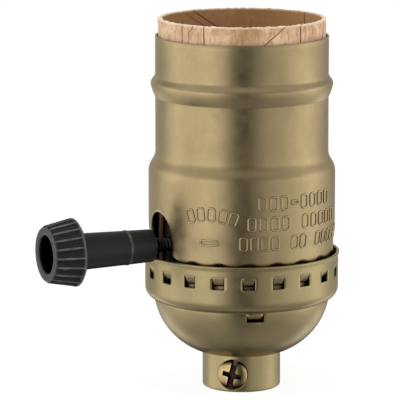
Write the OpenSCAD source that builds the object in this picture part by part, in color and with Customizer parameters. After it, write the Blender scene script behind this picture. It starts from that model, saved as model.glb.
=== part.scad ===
/* [Neck] */
// Outer diameter of the threaded neck
hub_d = 15.2; // [14.6:0.1:16.2]
// Height of the neck below the cap
hub_h = 7.3; // [6.6:0.1:9]
// Minor radius of the pipe thread in the neck
pipe_bore_r = 4.65; // [4.3:0.05:5]
// Rounding of the neck's lower edge
hub_edge_r = 0.8; // [0.3:0.1:1.2]
// Depth of the waist that the cap's floor sits in
hub_waist = 1.4; // [1:0.1:1.7]
// Reach of the flange spun over the cap's floor
hub_flange_out = 1.0; // [0.6:0.1:1.2]
// Thickness of the spun flange
hub_flange_t = 0.6; // [0.4:0.1:1]

/* [Cap] */
// Sheet thickness of the cap
cap_wall = 0.5; // [0.4:0.05:0.6]
// Width of the flat ring between neck and bowl
foot_flat = 2.0; // [1:0.1:3]
// Height of the bowl
bowl_h = 10.2; // [9:0.1:12]
// How far the collar stands out past the bowl
shoulder_out = 1.8; // [1.4:0.1:2.1]
// Rounding of the shoulder under the collar
shoulder_r = 2.3; // [2.2:0.1:2.8]
// Straight stretch between bowl and shoulder
shoulder_rise = 0.2; // [0.1:0.1:1]
// Height of the collar above its shoulder rounding
collar_h = 6.9; // [6.6:0.1:9]
// Outward flare of the collar's lip
lip_flare = 0.2; // [0.05:0.05:0.4]
// Height of the flared lip
lip_h = 1.0; // [0.6:0.1:1.4]
// Number of lanced windows round the collar
window_n = 20; // [12:1:22]
// Width of a collar window
window_w = 2.45; // [1.8:0.05:2.8]
// Height of a collar window
window_h = 2.3; // [1.8:0.1:2.6]
// Distance from the collar's rim down to the top of its windows
window_drop = 2.1; // [1.6:0.1:2.6]
// Angle of the first collar window
window_angle = 14.5; // [0:0.5:18]
// Inward lean of a window's tab at its free end
tab_lean = 0.4; // [0.2:0.05:0.45]
// Width of a bowl window
bowl_window_w = 3.4; // [2.6:0.1:4.2]
// Height of a bowl window
bowl_window_h = 1.7; // [1.4:0.1:2.2]
// Angle of the first of the two bowl windows
bowl_window_angle = 253; // [240:1:262]

/* [Cap insulator] */
// Thickness of the fibre cup inside the bowl
cap_liner_wall = 0.8; // [0.5:0.1:1.2]
// Clearance between the fibre cup and the bowl
cap_liner_gap = 0.3; // [0.2:0.05:0.6]
// Height of the fibre cup above the spun flange
cap_liner_h = 5.0; // [3:0.1:6]
// Diameter of the hole for the wires
cap_liner_hole_d = 11; // [10:0.5:13]

/* [Outer shell] */
// Outer diameter of the upper shell
shell_d = 33.5; // [32:0.5:36]
// Sheet thickness of the shell
shell_wall = 0.4; // [0.3:0.05:0.5]
// Height of the shell above the collar's rim
shell_h = 42; // [40:0.5:48]
// How far the skirt stands out past the upper shell
skirt_out = 1.35; // [1.1:0.05:2]
// How far the skirt draws in again above the collar
skirt_in = 0.3; // [0.1:0.05:0.5]
// Gap between the skirt and the inside of the collar
collar_gap = 0.5; // [0.45:0.05:0.8]
// Height above the collar's rim where the skirt starts to draw in
tuck_z = 6.1; // [5:0.1:8]
// Height of the stretch that draws in
tuck_h = 4.0; // [2:0.1:4.4]
// Height of the step's lower end above the collar's rim
step_z = 15.5; // [13:0.5:18]
// Height of the step between skirt and upper shell
step_h = 4.5; // [3:0.1:6]
// Height of the bead's crest above the collar's rim
bead_z = 32.6; // [28:0.1:36]
// How far the bead stands out
bead_out = 0.87; // [0.4:0.01:1.2]
// Height of the bead's curved upper flank
bead_up = 2.1; // [1.5:0.1:3]
// Height of the bead's straight lower flank
bead_down = 2.4; // [1.5:0.1:3]
// Width of a flute in the skirt's lower edge
flute_w = 2.9; // [2.2:0.1:3.2]
// Depth of a flute
flute_depth = 0.5; // [0.3:0.05:0.6]
// Height of the flutes' rounded tops above the collar's rim
flute_top = 0.5; // [0.2:0.1:1.6]

/* [Shaft slot] */
// Width of the slot in the shell
slot_w = 8.3; // [7.5:0.1:10]
// Height of the slot's arch above the shaft's axis
slot_rise = 6.6; // [5.8:0.1:8]
// Sideways shift of the slot from the shaft's axis
slot_shift = -0.8; // [-1.2:0.1:1.2]
// Widening of the slot at each lower corner
slot_flare = 1.3; // [0.4:0.1:1.8]
// Height above the collar's rim where the slot starts to widen
slot_flare_z = 1.3; // [1:0.1:3]
// How much wider the liner's slot is on each side
liner_slot_margin = 1.1; // [0.6:0.1:2]

/* [Liner] */
// Wall of the fibre liner tube
liner_wall = 0.75; // [0.5:0.05:1]
// Clearance between the liner and the upper shell
liner_gap = 0.15; // [0.1:0.05:0.3]
// Height of the liner above the shell's rim
liner_proud = 3.5; // [2:0.1:6]

/* [Switch] */
// Clearance between the switch block and the liner
block_gap = 0.35; // [0.3:0.05:0.7]
// Clearance between the base flange and the shell's skirt
flange_gap = 0.4; // [0.3:0.05:0.6]
// Thickness of the base flange
flange_t = 2.0; // [1.4:0.1:3]
// Height of the shaft's axis above the base's underside
shaft_rise = 10.8; // [10:0.1:12.5]
// Thickness of the floor under the switch chamber
chamber_floor = 3.8; // [3:0.1:4.4]
// Thickness of the block in front of the switch chamber, along the shaft
front_wall_t = 3.6; // [3.2:0.1:4.2]
// Thickness of the block behind the switch chamber, along the shaft
rear_wall_t = 9.6; // [8.8:0.1:10.2]
// Width of the switch chamber, as a share of the block's diameter
chamber_share = 0.43; // [0.4:0.005:0.45]
// Height of the chamber's roof above the shaft's axis
chamber_up = 7.3; // [6.2:0.1:9]
// Thickness of the chamber's roof
roof_t = 4.4; // [4:0.1:6]
// Depth of the flat face round the front bearing
front_flat = 0.5; // [0.3:0.05:1]
// Depth of the terminal seats in from the block's edge
seat_in = 3.1; // [2.9:0.1:3.3]
// Width of the terminal seats
seat_w = 14; // [12:0.5:15]

/* [Shaft and knob] */
// Diameter of the shaft
shaft_d = 2.84; // [2.5:0.02:3.2]
// Diameter of the shaft's rear journal
journal_d = 2.0; // [1.6:0.1:2.3]
// Radial running clearance of the shaft in its bearings
bearing_gap = 0.05; // [0.03:0.01:0.09]
// Gap between the skirt and the knob
knob_gap = 1.1; // [0.8:0.1:3]
// Length of the knob
knob_l = 22.1; // [19:0.1:26]
// Diameter of the knob's stem at its inner end
stem_d1 = 6.3; // [5.6:0.1:6.8]
// Diameter of the knob's stem at its head
stem_d2 = 7.1; // [6.8:0.1:8]
// Distance of the stem's raised ring from its inner end
ring_s = 5.4; // [3:0.1:8]
// Height of the stem's raised ring
ring_out = 0.1; // [0.05:0.05:0.4]
// Length of the knob's ribbed head
head_l = 5.9; // [5:0.1:8]
// Largest diameter of the ribbed head
head_d1 = 13.2; // [12:0.1:15]
// Diameter of the ribbed head at its outer end
head_d2 = 10.9; // [10:0.1:12]
// Chamfer behind the ribbed head
head_chamfer = 0.6; // [0.3:0.1:1]
// Number of ribs round the head
rib_n = 20; // [14:1:24]
// Width of the grooves between the ribs
rib_groove_w = 1.5; // [1.2:0.05:1.55]
// Depth of these grooves
rib_groove_depth = 0.4; // [0.3:0.05:0.5]
// Width of the smooth rim in front of the grooves
rib_rim_w = 0.7; // [0.5:0.1:1]
// Diameter of the recess in the knob's outer end
recess_d = 7.4; // [6:0.1:8]
// Depth of that recess
recess_depth = 4; // [2:0.1:5]
// Length of shaft screwed into the knob
shaft_grip = 14; // [8:0.5:15]

/* [Switch works] */
// Width across the flats of the square cam
cam_flat = 6; // [5.4:0.1:6.6]
// Diameter over the rounded corners of the cam
cam_corner_d = 7.2; // [6.8:0.1:7.6]
// Length of the square cam, as a share of the chamber's length
cam_share = 0.364; // [0.3:0.002:0.38]
// Thickness of the rotor's disc, as a share of the chamber's length
disc_share = 0.182; // [0.14:0.002:0.2]
// Clearance between the rotor contact's lobes and the chamber's sides
lobe_gap = 1.1; // [0.8:0.1:1.5]
// How far the lobes stand out past the rotor's disc
lobe_out = 0.4; // [0.2:0.1:0.8]
// Width of the rotor contact's lobes
lobe_w = 4; // [3.4:0.1:5]
// Thickness of the contact strips
strip_t = 0.5; // [0.3:0.05:0.6]
// Width of the contact strips
strip_w = 3; // [2:0.1:3.4]
// Air gap between rotor contact and fixed contacts
contact_gap = 0.3; // [0.2:0.05:0.5]
// Thickness of the detent leaf
leaf_t = 0.3; // [0.2:0.05:0.4]
// Width of the detent leaf, as a share of the cam's length
leaf_share = 0.66; // [0.5:0.02:0.8]
// Clearance between the detent leaf and the cam's corners
leaf_gap = 0.12; // [0.1:0.02:0.3]

/* [Terminals] */
// Thickness of the terminal plates
plate_t = 0.6; // [0.5:0.05:0.9]
// Width of the terminal plates
plate_w = 7.6; // [7:0.1:10]
// Diameter of the terminal screws' heads
term_head_d = 6.4; // [6:0.1:7]
// Height of the terminal screws' heads
term_head_h = 1.6; // [1.2:0.1:1.8]
// Diameter of the terminal screws' threads
term_screw_d = 3.4; // [3:0.1:3.6]
// Length of the terminal screws' threads
term_screw_l = 4.6; // [3:0.1:4.8]
// Height of the terminal screws above the shaft's axis
term_screw_up = 4.5; // [4:0.1:5]

/* [Lamp contacts] */
// Sheet thickness of the screw shell
thread_wall = 0.3; // [0.25:0.05:0.5]
// Distance of the screw shell's foot from the block's edge
thread_in = 2.35; // [2.1:0.05:2.8]
// Depth of the rounded lamp thread
thread_depth = 0.8; // [0.6:0.05:0.9]
// Pitch of the lamp thread
thread_pitch = 3.629; // [3:0.001:4]
// Number of turns of the lamp thread
thread_turns = 5; // [3:1:6]
// Height of the plain stretch below the thread
thread_plain_h = 1.8; // [1:0.1:3]
// Height of the plain mouth above the thread
thread_mouth_h = 1.8; // [1:0.1:3]
// Width of the screw shell's floor
thread_floor_w = 3.45; // [3.2:0.05:3.7]
// Height of the centre contact above its foot
centre_rise = 2.8; // [2:0.1:4]
// Width of the centre contact
centre_w = 4; // [3:0.1:4.2]

/* [Set screw] */
// Diameter of the set screw's thread
set_screw_d = 3.46; // [3:0.02:3.6]
// Diameter of the set screw's head
set_head_d = 5.8; // [5.2:0.1:6]
// Height of the set screw's head
set_head_h = 1.3; // [1:0.1:1.6]
// Distance of the set screw from the neck's upper end
set_screw_drop = 3.8; // [3.6:0.1:3.9]
// Angle of the set screw round the neck
set_screw_angle = 231; // [200:1:260]
// Lean of the slot in the set screw's head
set_slot_lean = 11.5; // [0:0.5:90]
// Width of the slot in the set screw's head
set_slot_w = 1.3; // [0.8:0.1:1.4]
// Width of the cross in the set screw's head
set_cross_w = 1.1; // [0.8:0.1:1.2]
// Length of that cross from tip to tip
set_cross_l = 3.8; // [3:0.1:4.2]

/* [Hidden] */
$fn = 96;

brass = [0.74, 0.65, 0.45];
bright_brass = [0.85, 0.72, 0.42];
steel = [0.72, 0.72, 0.7];
phenolic = [0.08, 0.08, 0.08];
fibre = [0.85, 0.66, 0.5];
brown_fibre = [0.45, 0.2, 0.1];

// Small length by which cutting shapes run past what they cut
past = 1;
// Depth by which joined shapes run into each other
bite = 0.05;
// Gap of a piece at rest on its seat
seat_gap = 0.15;
// Air round a screw's thread in the hole that holds it
thread_gap = 0.05;
// Air round a screw or rivet in a hole that it passes through
hole_gap = 0.15;

// Neck
hub_r = hub_d / 2;
hub_waist_r = hub_r - hub_waist;
hub_flange_r = hub_waist_r + hub_flange_out;
hub_top_z = hub_h + cap_wall + hub_flange_t;
set_screw_z = hub_h - set_screw_drop;

// Radii from the shell outwards and inwards
shell_r = shell_d / 2;
skirt_r = shell_r + skirt_out;
skirt_low_r = skirt_r - skirt_in;
cap_r = skirt_low_r + collar_gap + cap_wall;
liner_r = shell_r - shell_wall - liner_gap;
liner_in_r = liner_r - liner_wall;
block_r = liner_in_r - block_gap;
flange_r = skirt_low_r - shell_wall - flange_gap;

// Bowl: a ball centred on the axis, through its foot and its top
bowl_foot_r = hub_r + foot_flat;
bowl_top_r = cap_r - shoulder_out;
bowl_top_z = hub_h + bowl_h;
bowl_c_z = (pow(bowl_top_r, 2) - pow(bowl_foot_r, 2) + pow(bowl_top_z, 2) - pow(hub_h, 2))
    / (2 * (bowl_top_z - hub_h));
bowl_r = norm([bowl_top_r, bowl_top_z - bowl_c_z]);
bowl_in_r = bowl_r - cap_wall;

// Shoulder and collar
shoulder_c_r = cap_r - shoulder_r;
shoulder_in_r = shoulder_r - cap_wall;
shoulder_a = acos((bowl_top_r - shoulder_c_r) / shoulder_r);
shoulder_in_a = acos(max(0, bowl_top_r - cap_wall - shoulder_c_r) / shoulder_in_r);
shoulder_c_z = bowl_top_z + shoulder_rise + shoulder_r * sin(shoulder_a);
rim_z = shoulder_c_z + collar_h;
window_top_z = rim_z - window_drop;
window_z = window_top_z - window_h;
tab_in_r = cap_r - cap_wall;
bowl_window_top_z = bowl_top_z - 0.1;
bowl_window_z = bowl_window_top_z - bowl_window_h;

// Height of the collar's inner surface at a radius on the shoulder rounding
function shoulder_seat_z(r) =
    shoulder_c_z - sqrt(pow(shoulder_in_r, 2) - pow(max(0, r - shoulder_c_r), 2));

// Shell and liner heights
shell_z = shoulder_seat_z(skirt_low_r) + seat_gap;
shell_top_z = rim_z + shell_h;
liner_top_z = shell_top_z + liner_proud;
flute_r = (pow(flute_w / 2, 2) + pow(flute_depth, 2)) / (2 * flute_depth);
flute_c_r = skirt_low_r + flute_r - flute_depth;
flute_z0 = window_z - 0.3;
flute_z1 = rim_z + flute_top;
profile_steps = 10;

// Switch heights and places
base_z = shoulder_seat_z(flange_r) + seat_gap;
shaft_z = base_z + shaft_rise;
chamber_z0 = base_z + chamber_floor;
chamber_z1 = shaft_z + chamber_up;
block_top_z = chamber_z1 + roof_t;
liner_z = base_z + flange_t + seat_gap;
front_x = -(block_r - front_flat);
chamber_x0 = front_x + front_wall_t;
chamber_x1 = block_r - rear_wall_t;
chamber_l = chamber_x1 - chamber_x0;
chamber_w = 2 * block_r * chamber_share;
seat_y = block_r - seat_in;
seat_z0 = base_z + flange_t + 2;
rivet_r = 0.9;
rivet_head_r = 1.3;
rivet_head_h = 0.8;
rivet_head_gap = 0.1;
body_rivet_at = [
    for (s = [-1, 1]) [front_x + front_wall_t / 2, s * chamber_w / 3],
    for (s = [-1, 1]) [(chamber_x1 + block_r) / 2, s * chamber_w / 2]
];

// Shaft, rotor and contacts along the shaft
shaft_r = shaft_d / 2;
journal_r = journal_d / 2;
knob_x = -(skirt_r + knob_gap);
clip_t = 0.5;
clip_x = chamber_x0 + 0.4;
clip_r = 3;
clip_groove_r = 1;
cam_l = chamber_l * cam_share;
disc_t = chamber_l * disc_share;
lobe_d = chamber_w - 2 * lobe_gap;
disc_d = lobe_d - 2 * lobe_out;
leaf_w = cam_l * leaf_share;
cam_x = clip_x + clip_t + 1.6;
disc_x = cam_x + cam_l;
rotor_contact_x = disc_x + disc_t;
fixed_x = rotor_contact_x + strip_t + contact_gap;
journal_x = fixed_x - contact_gap;
shaft_end_x = chamber_x1 + 2.5;
leaf_top_z = shaft_z - cam_corner_d / 2 - leaf_gap;
leaf_span = chamber_w / 2 - 0.3;
leaf_rise = leaf_top_z - chamber_z0;
leaf_r = (pow(leaf_span, 2) + pow(leaf_rise, 2)) / (2 * leaf_rise);
contact_in_y = lobe_d / 2 - 2;
contact_out_y = lobe_d / 2 + 0.6;
load_foot_l = 3.2;
load_foot_w = 3.6;
slit_gap = 0.1;

// Terminals
term_screw_z = shaft_z + term_screw_up;
plate_y = seat_y + plate_t;
plate_z0 = shaft_z - strip_w / 2 - 0.7;
plate_top_z = term_screw_z + term_head_d / 2 + 0.6;
neutral_z0 = term_screw_z - term_head_d / 2 - 1;
neutral_foot_l = 2.8;
thread_minor_r = block_r - thread_in - thread_wall;
thread_floor_r = thread_minor_r - thread_floor_w;
shell_rivet_y = (thread_floor_r + thread_minor_r) / 2 + 0.1;
shell_rivet_l = 3;
shell_rivet_head_r = 1.3;
shell_rivet_head_h = 0.5;
term_dome_h = 0.5;
term_slot_turn = 35;
term_slot_depth = 0.8;
term_slot_w = 0.9;

// Lamp contacts
thread_out_r = thread_minor_r + thread_wall;
thread_z0 = block_top_z + thread_wall + thread_plain_h;
thread_h = thread_turns * thread_pitch;
thread_facets = 24;
thread_steps = 12;
thread_clear = 0.05;
thread_c_r = (thread_minor_r + thread_clear + thread_depth / 2) / cos(180 / thread_facets);
thread_max_r = thread_c_r + thread_depth / 2 + thread_wall;
thread_z1 = thread_z0 + thread_h - bite;
thread_mouth_r = thread_max_r - thread_wall * 0.8;
contact_t = 0.4;
contact_foot_x1 = thread_floor_r - 0.8;
contact_foot_x0 = contact_foot_x1 - 2.3;
contact_lift = 0.3;
contact_foot_z = block_top_z + contact_lift;
contact_tip_z = contact_foot_z + centre_rise;
contact_tip_x = -1.6;
contact_button_r = 1.4;
contact_button_h = 0.4;
centre_rivet_x = contact_foot_x1 - 1.1;
centre_rivet_r = 0.7;
centre_rivet_head_r = 1.0;
centre_rivet_head_h = 0.4;
centre_rivet_l = 2.4;

// Set screw
spot_r = hub_r - 0.7;
set_tip_gap = 0.1;
set_dome_h = set_head_h * 0.6;
set_slot_depth = 0.7;
set_cross_depth = 1;

// Shape of a smooth rise from 0 to 1
function ease(t) = (1 - cos(180 * t)) / 2;

// Points of an arc between two angles
function arc(c, r, a0, a1, n) =
    [for (i = [0:n]) let (a = a0 + (a1 - a0) * i / n) c + r * [cos(a), sin(a)]];

// Outline of the shell's surface from the top down, drawn in by an offset
function shell_outline(inset) = concat(
    [[shell_r - inset, shell_top_z]],
    [for (i = [0:profile_steps]) let (t = i / profile_steps)
        [shell_r - inset + bead_out * ease(t), rim_z + bead_z + bead_up * (1 - t)]],
    [[shell_r - inset, rim_z + bead_z - bead_down]],
    [for (i = [0:profile_steps]) let (t = i / profile_steps)
        [shell_r - inset + skirt_out * ease(t), rim_z + step_z + step_h * (1 - t)]],
    [for (i = [0:profile_steps]) let (t = i / profile_steps)
        [skirt_r - inset - skirt_in * ease(t), rim_z + tuck_z - tuck_h * t]],
    [[skirt_low_r - inset, shell_z]]
);

function reversed(list) = [for (i = [len(list) - 1:-1:0]) list[i]];

// A rod with ball ends that presses or fills one flute
module flute_rod(r) {
    translate([flute_c_r, 0, flute_z0 + flute_w / 2])
        rotate_extrude() {
            square([r, flute_z1 - flute_z0 - flute_w]);
            intersection() {
                union() {
                    circle(r);
                    translate([0, flute_z1 - flute_z0 - flute_w]) circle(r);
                }
                translate([0, -r]) square([r, flute_z1 - flute_z0 - flute_w + 2 * r]);
            }
        }
}

module flute_rods(r) {
    for (i = [0:window_n - 1]) rotate([0, 0, window_angle + i * 360 / window_n]) flute_rod(r);
}

// Arched opening round the shaft, cut through from the front
module shaft_slot(margin, top_z, bottom_z, flare) {
    half_w = slot_w / 2 + margin;
    arch_z = top_z - half_w;
    flare_z = rim_z + slot_flare_z;
    translate([-skirt_r - past, slot_shift, 0]) {
        translate([0, 0, arch_z]) rotate([0, 90, 0]) cylinder(r = half_w, h = skirt_r);
        translate([0, -half_w, bottom_z - past]) cube([skirt_r, 2 * half_w, arch_z - bottom_z + past]);
        if (flare > 0) rotate([90, 0, 90]) linear_extrude(skirt_r) polygon([
            [-half_w, flare_z],
            [-half_w - flare * 0.4, flare_z - flare * 0.8],
            [-half_w - flare, flare_z - flare * 1.2],
            [-half_w - flare, bottom_z - past],
            [half_w + flare, bottom_z - past],
            [half_w + flare, flare_z - flare * 1.2],
            [half_w + flare * 0.4, flare_z - flare * 0.8],
            [half_w, flare_z]
        ]);
    }
}

module outer_shell() color(brass) difference() {
    union() {
        rotate_extrude() polygon(concat(shell_outline(0), reversed(shell_outline(shell_wall))));
        intersection() {
            flute_rods(flute_r + shell_wall);
            translate([0, 0, shell_z])
                cylinder(r = skirt_low_r - shell_wall / 2, h = rim_z - shell_z + tuck_z);
        }
    }
    flute_rods(flute_r);
    shaft_slot(0, shaft_z + slot_rise, shell_z, slot_flare);
}

module insulating_liner() color(fibre) difference() {
    translate([0, 0, liner_z]) cylinder(r = liner_r, h = liner_top_z - liner_z);
    translate([0, 0, liner_z - past]) cylinder(r = liner_in_r, h = liner_top_z - liner_z + 2 * past);
    shaft_slot(liner_slot_margin, shaft_z + slot_rise + liner_slot_margin, liner_z, 0);
}

// Section of the cap's sheet, outside upwards and inside back down
module cap_section() {
    bowl_a0 = asin((hub_h - bowl_c_z) / bowl_r);
    bowl_a1 = asin((bowl_top_z - bowl_c_z) / bowl_r);
    bowl_in_a0 = asin((hub_h + cap_wall - bowl_c_z) / bowl_in_r);
    polygon(concat(
        [[hub_waist_r, hub_h]],
        arc([0, bowl_c_z], bowl_r, bowl_a0, bowl_a1, 24),
        arc([shoulder_c_r, shoulder_c_z], shoulder_r, -shoulder_a, 0, 12),
        [[cap_r, rim_z - lip_h],
         [cap_r + lip_flare, rim_z - cap_wall / 2],
         [cap_r + lip_flare - cap_wall / 4, rim_z],
         [cap_r + lip_flare - cap_wall, rim_z],
         [cap_r - cap_wall, rim_z - lip_h]],
        arc([shoulder_c_r, shoulder_c_z], shoulder_in_r, 0, -shoulder_in_a, 12),
        arc([0, bowl_c_z], bowl_in_r, bowl_a1, bowl_in_a0, 24),
        [[hub_waist_r, hub_h + cap_wall]]
    ));
}

// Tab lanced out of a window and bent inwards from the window's top edge
module collar_tab() {
    translate([0, window_w / 2 - 0.1, 0]) rotate([90, 0, 0]) linear_extrude(window_w - 0.2) polygon([
        [tab_in_r, window_top_z + bite],
        [cap_r - bite, window_top_z + bite],
        [cap_r - bite, window_top_z],
        [cap_r - tab_lean, window_z + 0.2],
        [tab_in_r - tab_lean, window_z + 0.3]
    ]);
}

module bowl_tab() {
    r_top = bowl_top_r - cap_wall;
    translate([0, bowl_window_w / 2 - 0.1, 0]) rotate([90, 0, 0]) linear_extrude(bowl_window_w - 0.2)
        polygon([
            [r_top, bowl_window_top_z + bite],
            [bowl_top_r - 0.1, bowl_window_top_z + bite],
            [r_top - 0.6, bowl_window_z + 0.2],
            [r_top - 1, bowl_window_z + 0.3]
        ]);
}

module cap() color(brass) {
    difference() {
        rotate_extrude() cap_section();
        for (i = [0:window_n - 1]) rotate([0, 0, window_angle + i * 360 / window_n])
            translate([cap_r - cap_wall - past, -window_w / 2, window_z])
                cube([cap_wall + 2 * past, window_w, window_h]);
        for (i = [0:1]) rotate([0, 0, bowl_window_angle + i * 180])
            translate([bowl_top_r - 2 * past, -bowl_window_w / 2, bowl_window_z])
                cube([3 * past, bowl_window_w, bowl_window_h]);
    }
    for (i = [0:window_n - 1]) rotate([0, 0, window_angle + i * 360 / window_n]) collar_tab();
    for (i = [0:1]) rotate([0, 0, bowl_window_angle + i * 180]) bowl_tab();
}

// Places a piece built along +Z so that it points out of the neck at the set screw
module at_set_screw(r) {
    rotate([0, 0, set_screw_angle]) translate([r, 0, set_screw_z]) rotate([0, 90, 0]) children();
}

module cap_hub() color(brass) difference() {
    rotate_extrude() polygon(concat(
        [[pipe_bore_r, 0]],
        arc([hub_r - hub_edge_r, hub_edge_r], hub_edge_r, -90, 0, 8),
        [[hub_r, hub_h],
         [hub_waist_r, hub_h],
         [hub_waist_r, hub_h + cap_wall],
         [hub_flange_r, hub_h + cap_wall],
         [hub_flange_r, hub_top_z],
         [pipe_bore_r, hub_top_z]]
    ));
    at_set_screw(0) cylinder(r = set_screw_d / 2 + thread_gap, h = hub_r + past);
    at_set_screw(spot_r) cylinder(r = set_head_d / 2 + hole_gap, h = hub_r);
}

module cap_liner() color(fibre) {
    out_r = bowl_in_r - cap_liner_gap;
    in_r = out_r - cap_liner_wall;
    z0 = hub_top_z + seat_gap;
    a0 = asin((z0 - bowl_c_z) / out_r);
    a1 = asin((z0 + cap_liner_h - bowl_c_z) / out_r);
    b0 = asin((z0 + cap_liner_wall - bowl_c_z) / in_r);
    b1 = asin((z0 + cap_liner_h - bowl_c_z) / in_r);
    rotate_extrude() polygon(concat(
        [[cap_liner_hole_d / 2, z0]],
        arc([0, bowl_c_z], out_r, a0, a1, 12),
        arc([0, bowl_c_z], in_r, b1, b0, 12),
        [[cap_liner_hole_d / 2, z0 + cap_liner_wall]]
    ));
}

// Domed screw head along +Z with a straight slot
module screw_head(d, h, dome, slot_w, slot_depth) {
    difference() {
        rotate_extrude() polygon(concat(
            [[0, 0], [d / 2, 0]],
            [for (i = [0:8]) let (a = 90 * i / 8) [d / 2 * cos(a), h - dome + dome * sin(a)]]
        ));
        translate([-d, -slot_w / 2, h - slot_depth]) cube([2 * d, slot_w, slot_depth + past]);
    }
}

module set_screw() color(bright_brass) at_set_screw(0) {
    tip_z = pipe_bore_r + set_tip_gap;
    translate([0, 0, tip_z]) cylinder(r = set_screw_d / 2, h = spot_r - tip_z + bite);
    translate([0, 0, spot_r]) rotate([0, 0, 90 + set_slot_lean]) difference() {
        rotate([0, 0, 90]) screw_head(set_head_d, set_head_h, set_dome_h, set_slot_w, set_slot_depth);
        for (a = [0, 90]) rotate([0, 0, a])
            translate([-set_cross_l / 2, -set_cross_w / 2, set_head_h - set_cross_depth])
                cube([set_cross_l, set_cross_w, set_cross_depth + past]);
    }
}

// Everything cut out of the moulded switch block: chamber, bearings, seats, slit and rivet holes
module block_cuts() {
    translate([-block_r - past, -block_r, base_z + flange_t])
        cube([front_x + block_r + past, 2 * block_r, block_top_z - base_z]);
    translate([chamber_x0, -chamber_w / 2, chamber_z0])
        cube([chamber_l, chamber_w, chamber_z1 - chamber_z0]);
    for (s = [-1, 1]) translate([-seat_w / 2, s > 0 ? seat_y : -block_r - past, seat_z0])
        cube([seat_w, block_r + past - seat_y, block_top_z - seat_z0 + past]);
    translate([front_x - past, 0, shaft_z]) rotate([0, 90, 0])
        cylinder(r = shaft_r + bearing_gap, h = front_wall_t + 2 * past);
    translate([chamber_x1 - past, 0, shaft_z]) rotate([0, 90, 0])
        cylinder(r = journal_r + bearing_gap, h = shaft_end_x - chamber_x1 + past + 0.5);
    translate([fixed_x - slit_gap, chamber_w / 2 - past, shaft_z - strip_w / 2 - slit_gap])
        cube([strip_t + 2 * slit_gap, block_r, strip_w + 2 * slit_gap]);
    for (p = body_rivet_at) translate([p.x, p.y, 0]) {
        translate([0, 0, base_z - past]) cylinder(r = rivet_r, h = block_top_z - base_z + 2 * past);
        translate([0, 0, base_z - past]) cylinder(r = rivet_head_r + rivet_head_gap, h = past + rivet_head_h);
        translate([0, 0, block_top_z - rivet_head_h])
            cylinder(r = rivet_head_r + rivet_head_gap, h = rivet_head_h + past);
    }
}

module switch_base() color(phenolic) difference() {
    union() {
        translate([0, 0, base_z]) cylinder(r = block_r, h = shaft_rise);
        translate([0, 0, base_z]) cylinder(r = flange_r, h = flange_t);
    }
    block_cuts();
}

// Foot of the load contact on top of the block, or its seat with a gap
module load_foot(gap) {
    x0 = fixed_x - gap;
    translate([x0, -contact_out_y - gap, block_top_z - strip_t])
        cube([load_foot_l + 2 * gap, contact_out_y - load_foot_w / 2 + 2 * gap, strip_t + gap]);
    translate([x0, -load_foot_w / 2 - gap, block_top_z - strip_t])
        cube([contact_foot_x1 - fixed_x + 2 * gap, load_foot_w + 2 * gap, strip_t + gap]);
}

// Foot of the neutral plate, bent in under the screw shell, or its seat with a gap
module neutral_foot(gap) {
    translate([-plate_w / 2 - gap, -plate_y - gap, block_top_z - strip_t])
        cube([plate_w + 2 * gap, plate_y - seat_y + neutral_foot_l + 2 * gap, strip_t + gap]);
}

module switch_body() color(phenolic) difference() {
    translate([0, 0, shaft_z]) cylinder(r = block_r, h = block_top_z - shaft_z);
    block_cuts();
    translate([fixed_x - slit_gap, -contact_out_y - slit_gap, chamber_z1 - past])
        cube([strip_t + 2 * slit_gap, contact_out_y - contact_in_y + 2 * slit_gap, roof_t + 2 * past]);
    load_foot(slit_gap);
    neutral_foot(slit_gap);
    for (s = [-1, 1]) {
        translate([0, s * shell_rivet_y, block_top_z - shell_rivet_l])
            cylinder(r = rivet_r, h = shell_rivet_l + past);
        translate([0, s * (seat_y + past), term_screw_z]) rotate([s * 90, 0, 0])
            cylinder(r = term_screw_d / 2 + hole_gap, h = past + term_screw_l);
    }
    translate([centre_rivet_x, 0, block_top_z - centre_rivet_l])
        cylinder(r = centre_rivet_r, h = centre_rivet_l + past);
}

// Long rivets that hold the two mouldings together, heads sunk in both
module body_rivets() color(steel) for (p = body_rivet_at) translate([p.x, p.y, base_z + bite]) {
    l = block_top_z - base_z - 2 * bite;
    head_h = rivet_head_h - bite;
    cylinder(r = rivet_r, h = l);
    cylinder(r = rivet_head_r, h = head_h);
    translate([0, 0, l - head_h]) cylinder(r = rivet_head_r, h = head_h);
}

module screw_shell() color(bright_brass) difference() {
    union() {
        translate([0, 0, block_top_z]) difference() {
            cylinder(r = thread_out_r, h = thread_wall + thread_plain_h);
            translate([0, 0, thread_wall]) cylinder(r = thread_minor_r, h = thread_plain_h + past);
            translate([0, 0, -past]) cylinder(r = thread_floor_r, h = thread_wall + 2 * past);
        }
        translate([0, 0, thread_z0 - thread_wall]) difference() {
            cylinder(r = thread_max_r, h = thread_wall);
            translate([0, 0, -past]) cylinder(r = thread_minor_r, h = thread_wall + 2 * past);
        }
        translate([0, 0, thread_z0 - bite])
            linear_extrude(thread_h, twist = -360 * thread_turns,
                slices = thread_steps * thread_turns, $fn = thread_facets)
                translate([thread_depth / 2, 0]) difference() {
                    circle(thread_c_r + thread_wall);
                    circle(thread_c_r);
                }
        translate([0, 0, thread_z1 - bite]) difference() {
            cylinder(r = thread_max_r, h = bite + thread_wall + thread_mouth_h);
            translate([thread_depth / 2, 0, -past])
                cylinder(r = thread_c_r, h = 2 * past + thread_mouth_h, $fn = thread_facets);
            translate([0, 0, bite + thread_wall]) cylinder(r = thread_mouth_r, h = thread_mouth_h + past);
        }
    }
    for (s = [-1, 1]) translate([0, s * shell_rivet_y, block_top_z - past])
        cylinder(r = rivet_r, h = thread_wall + 2 * past);
}

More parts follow.
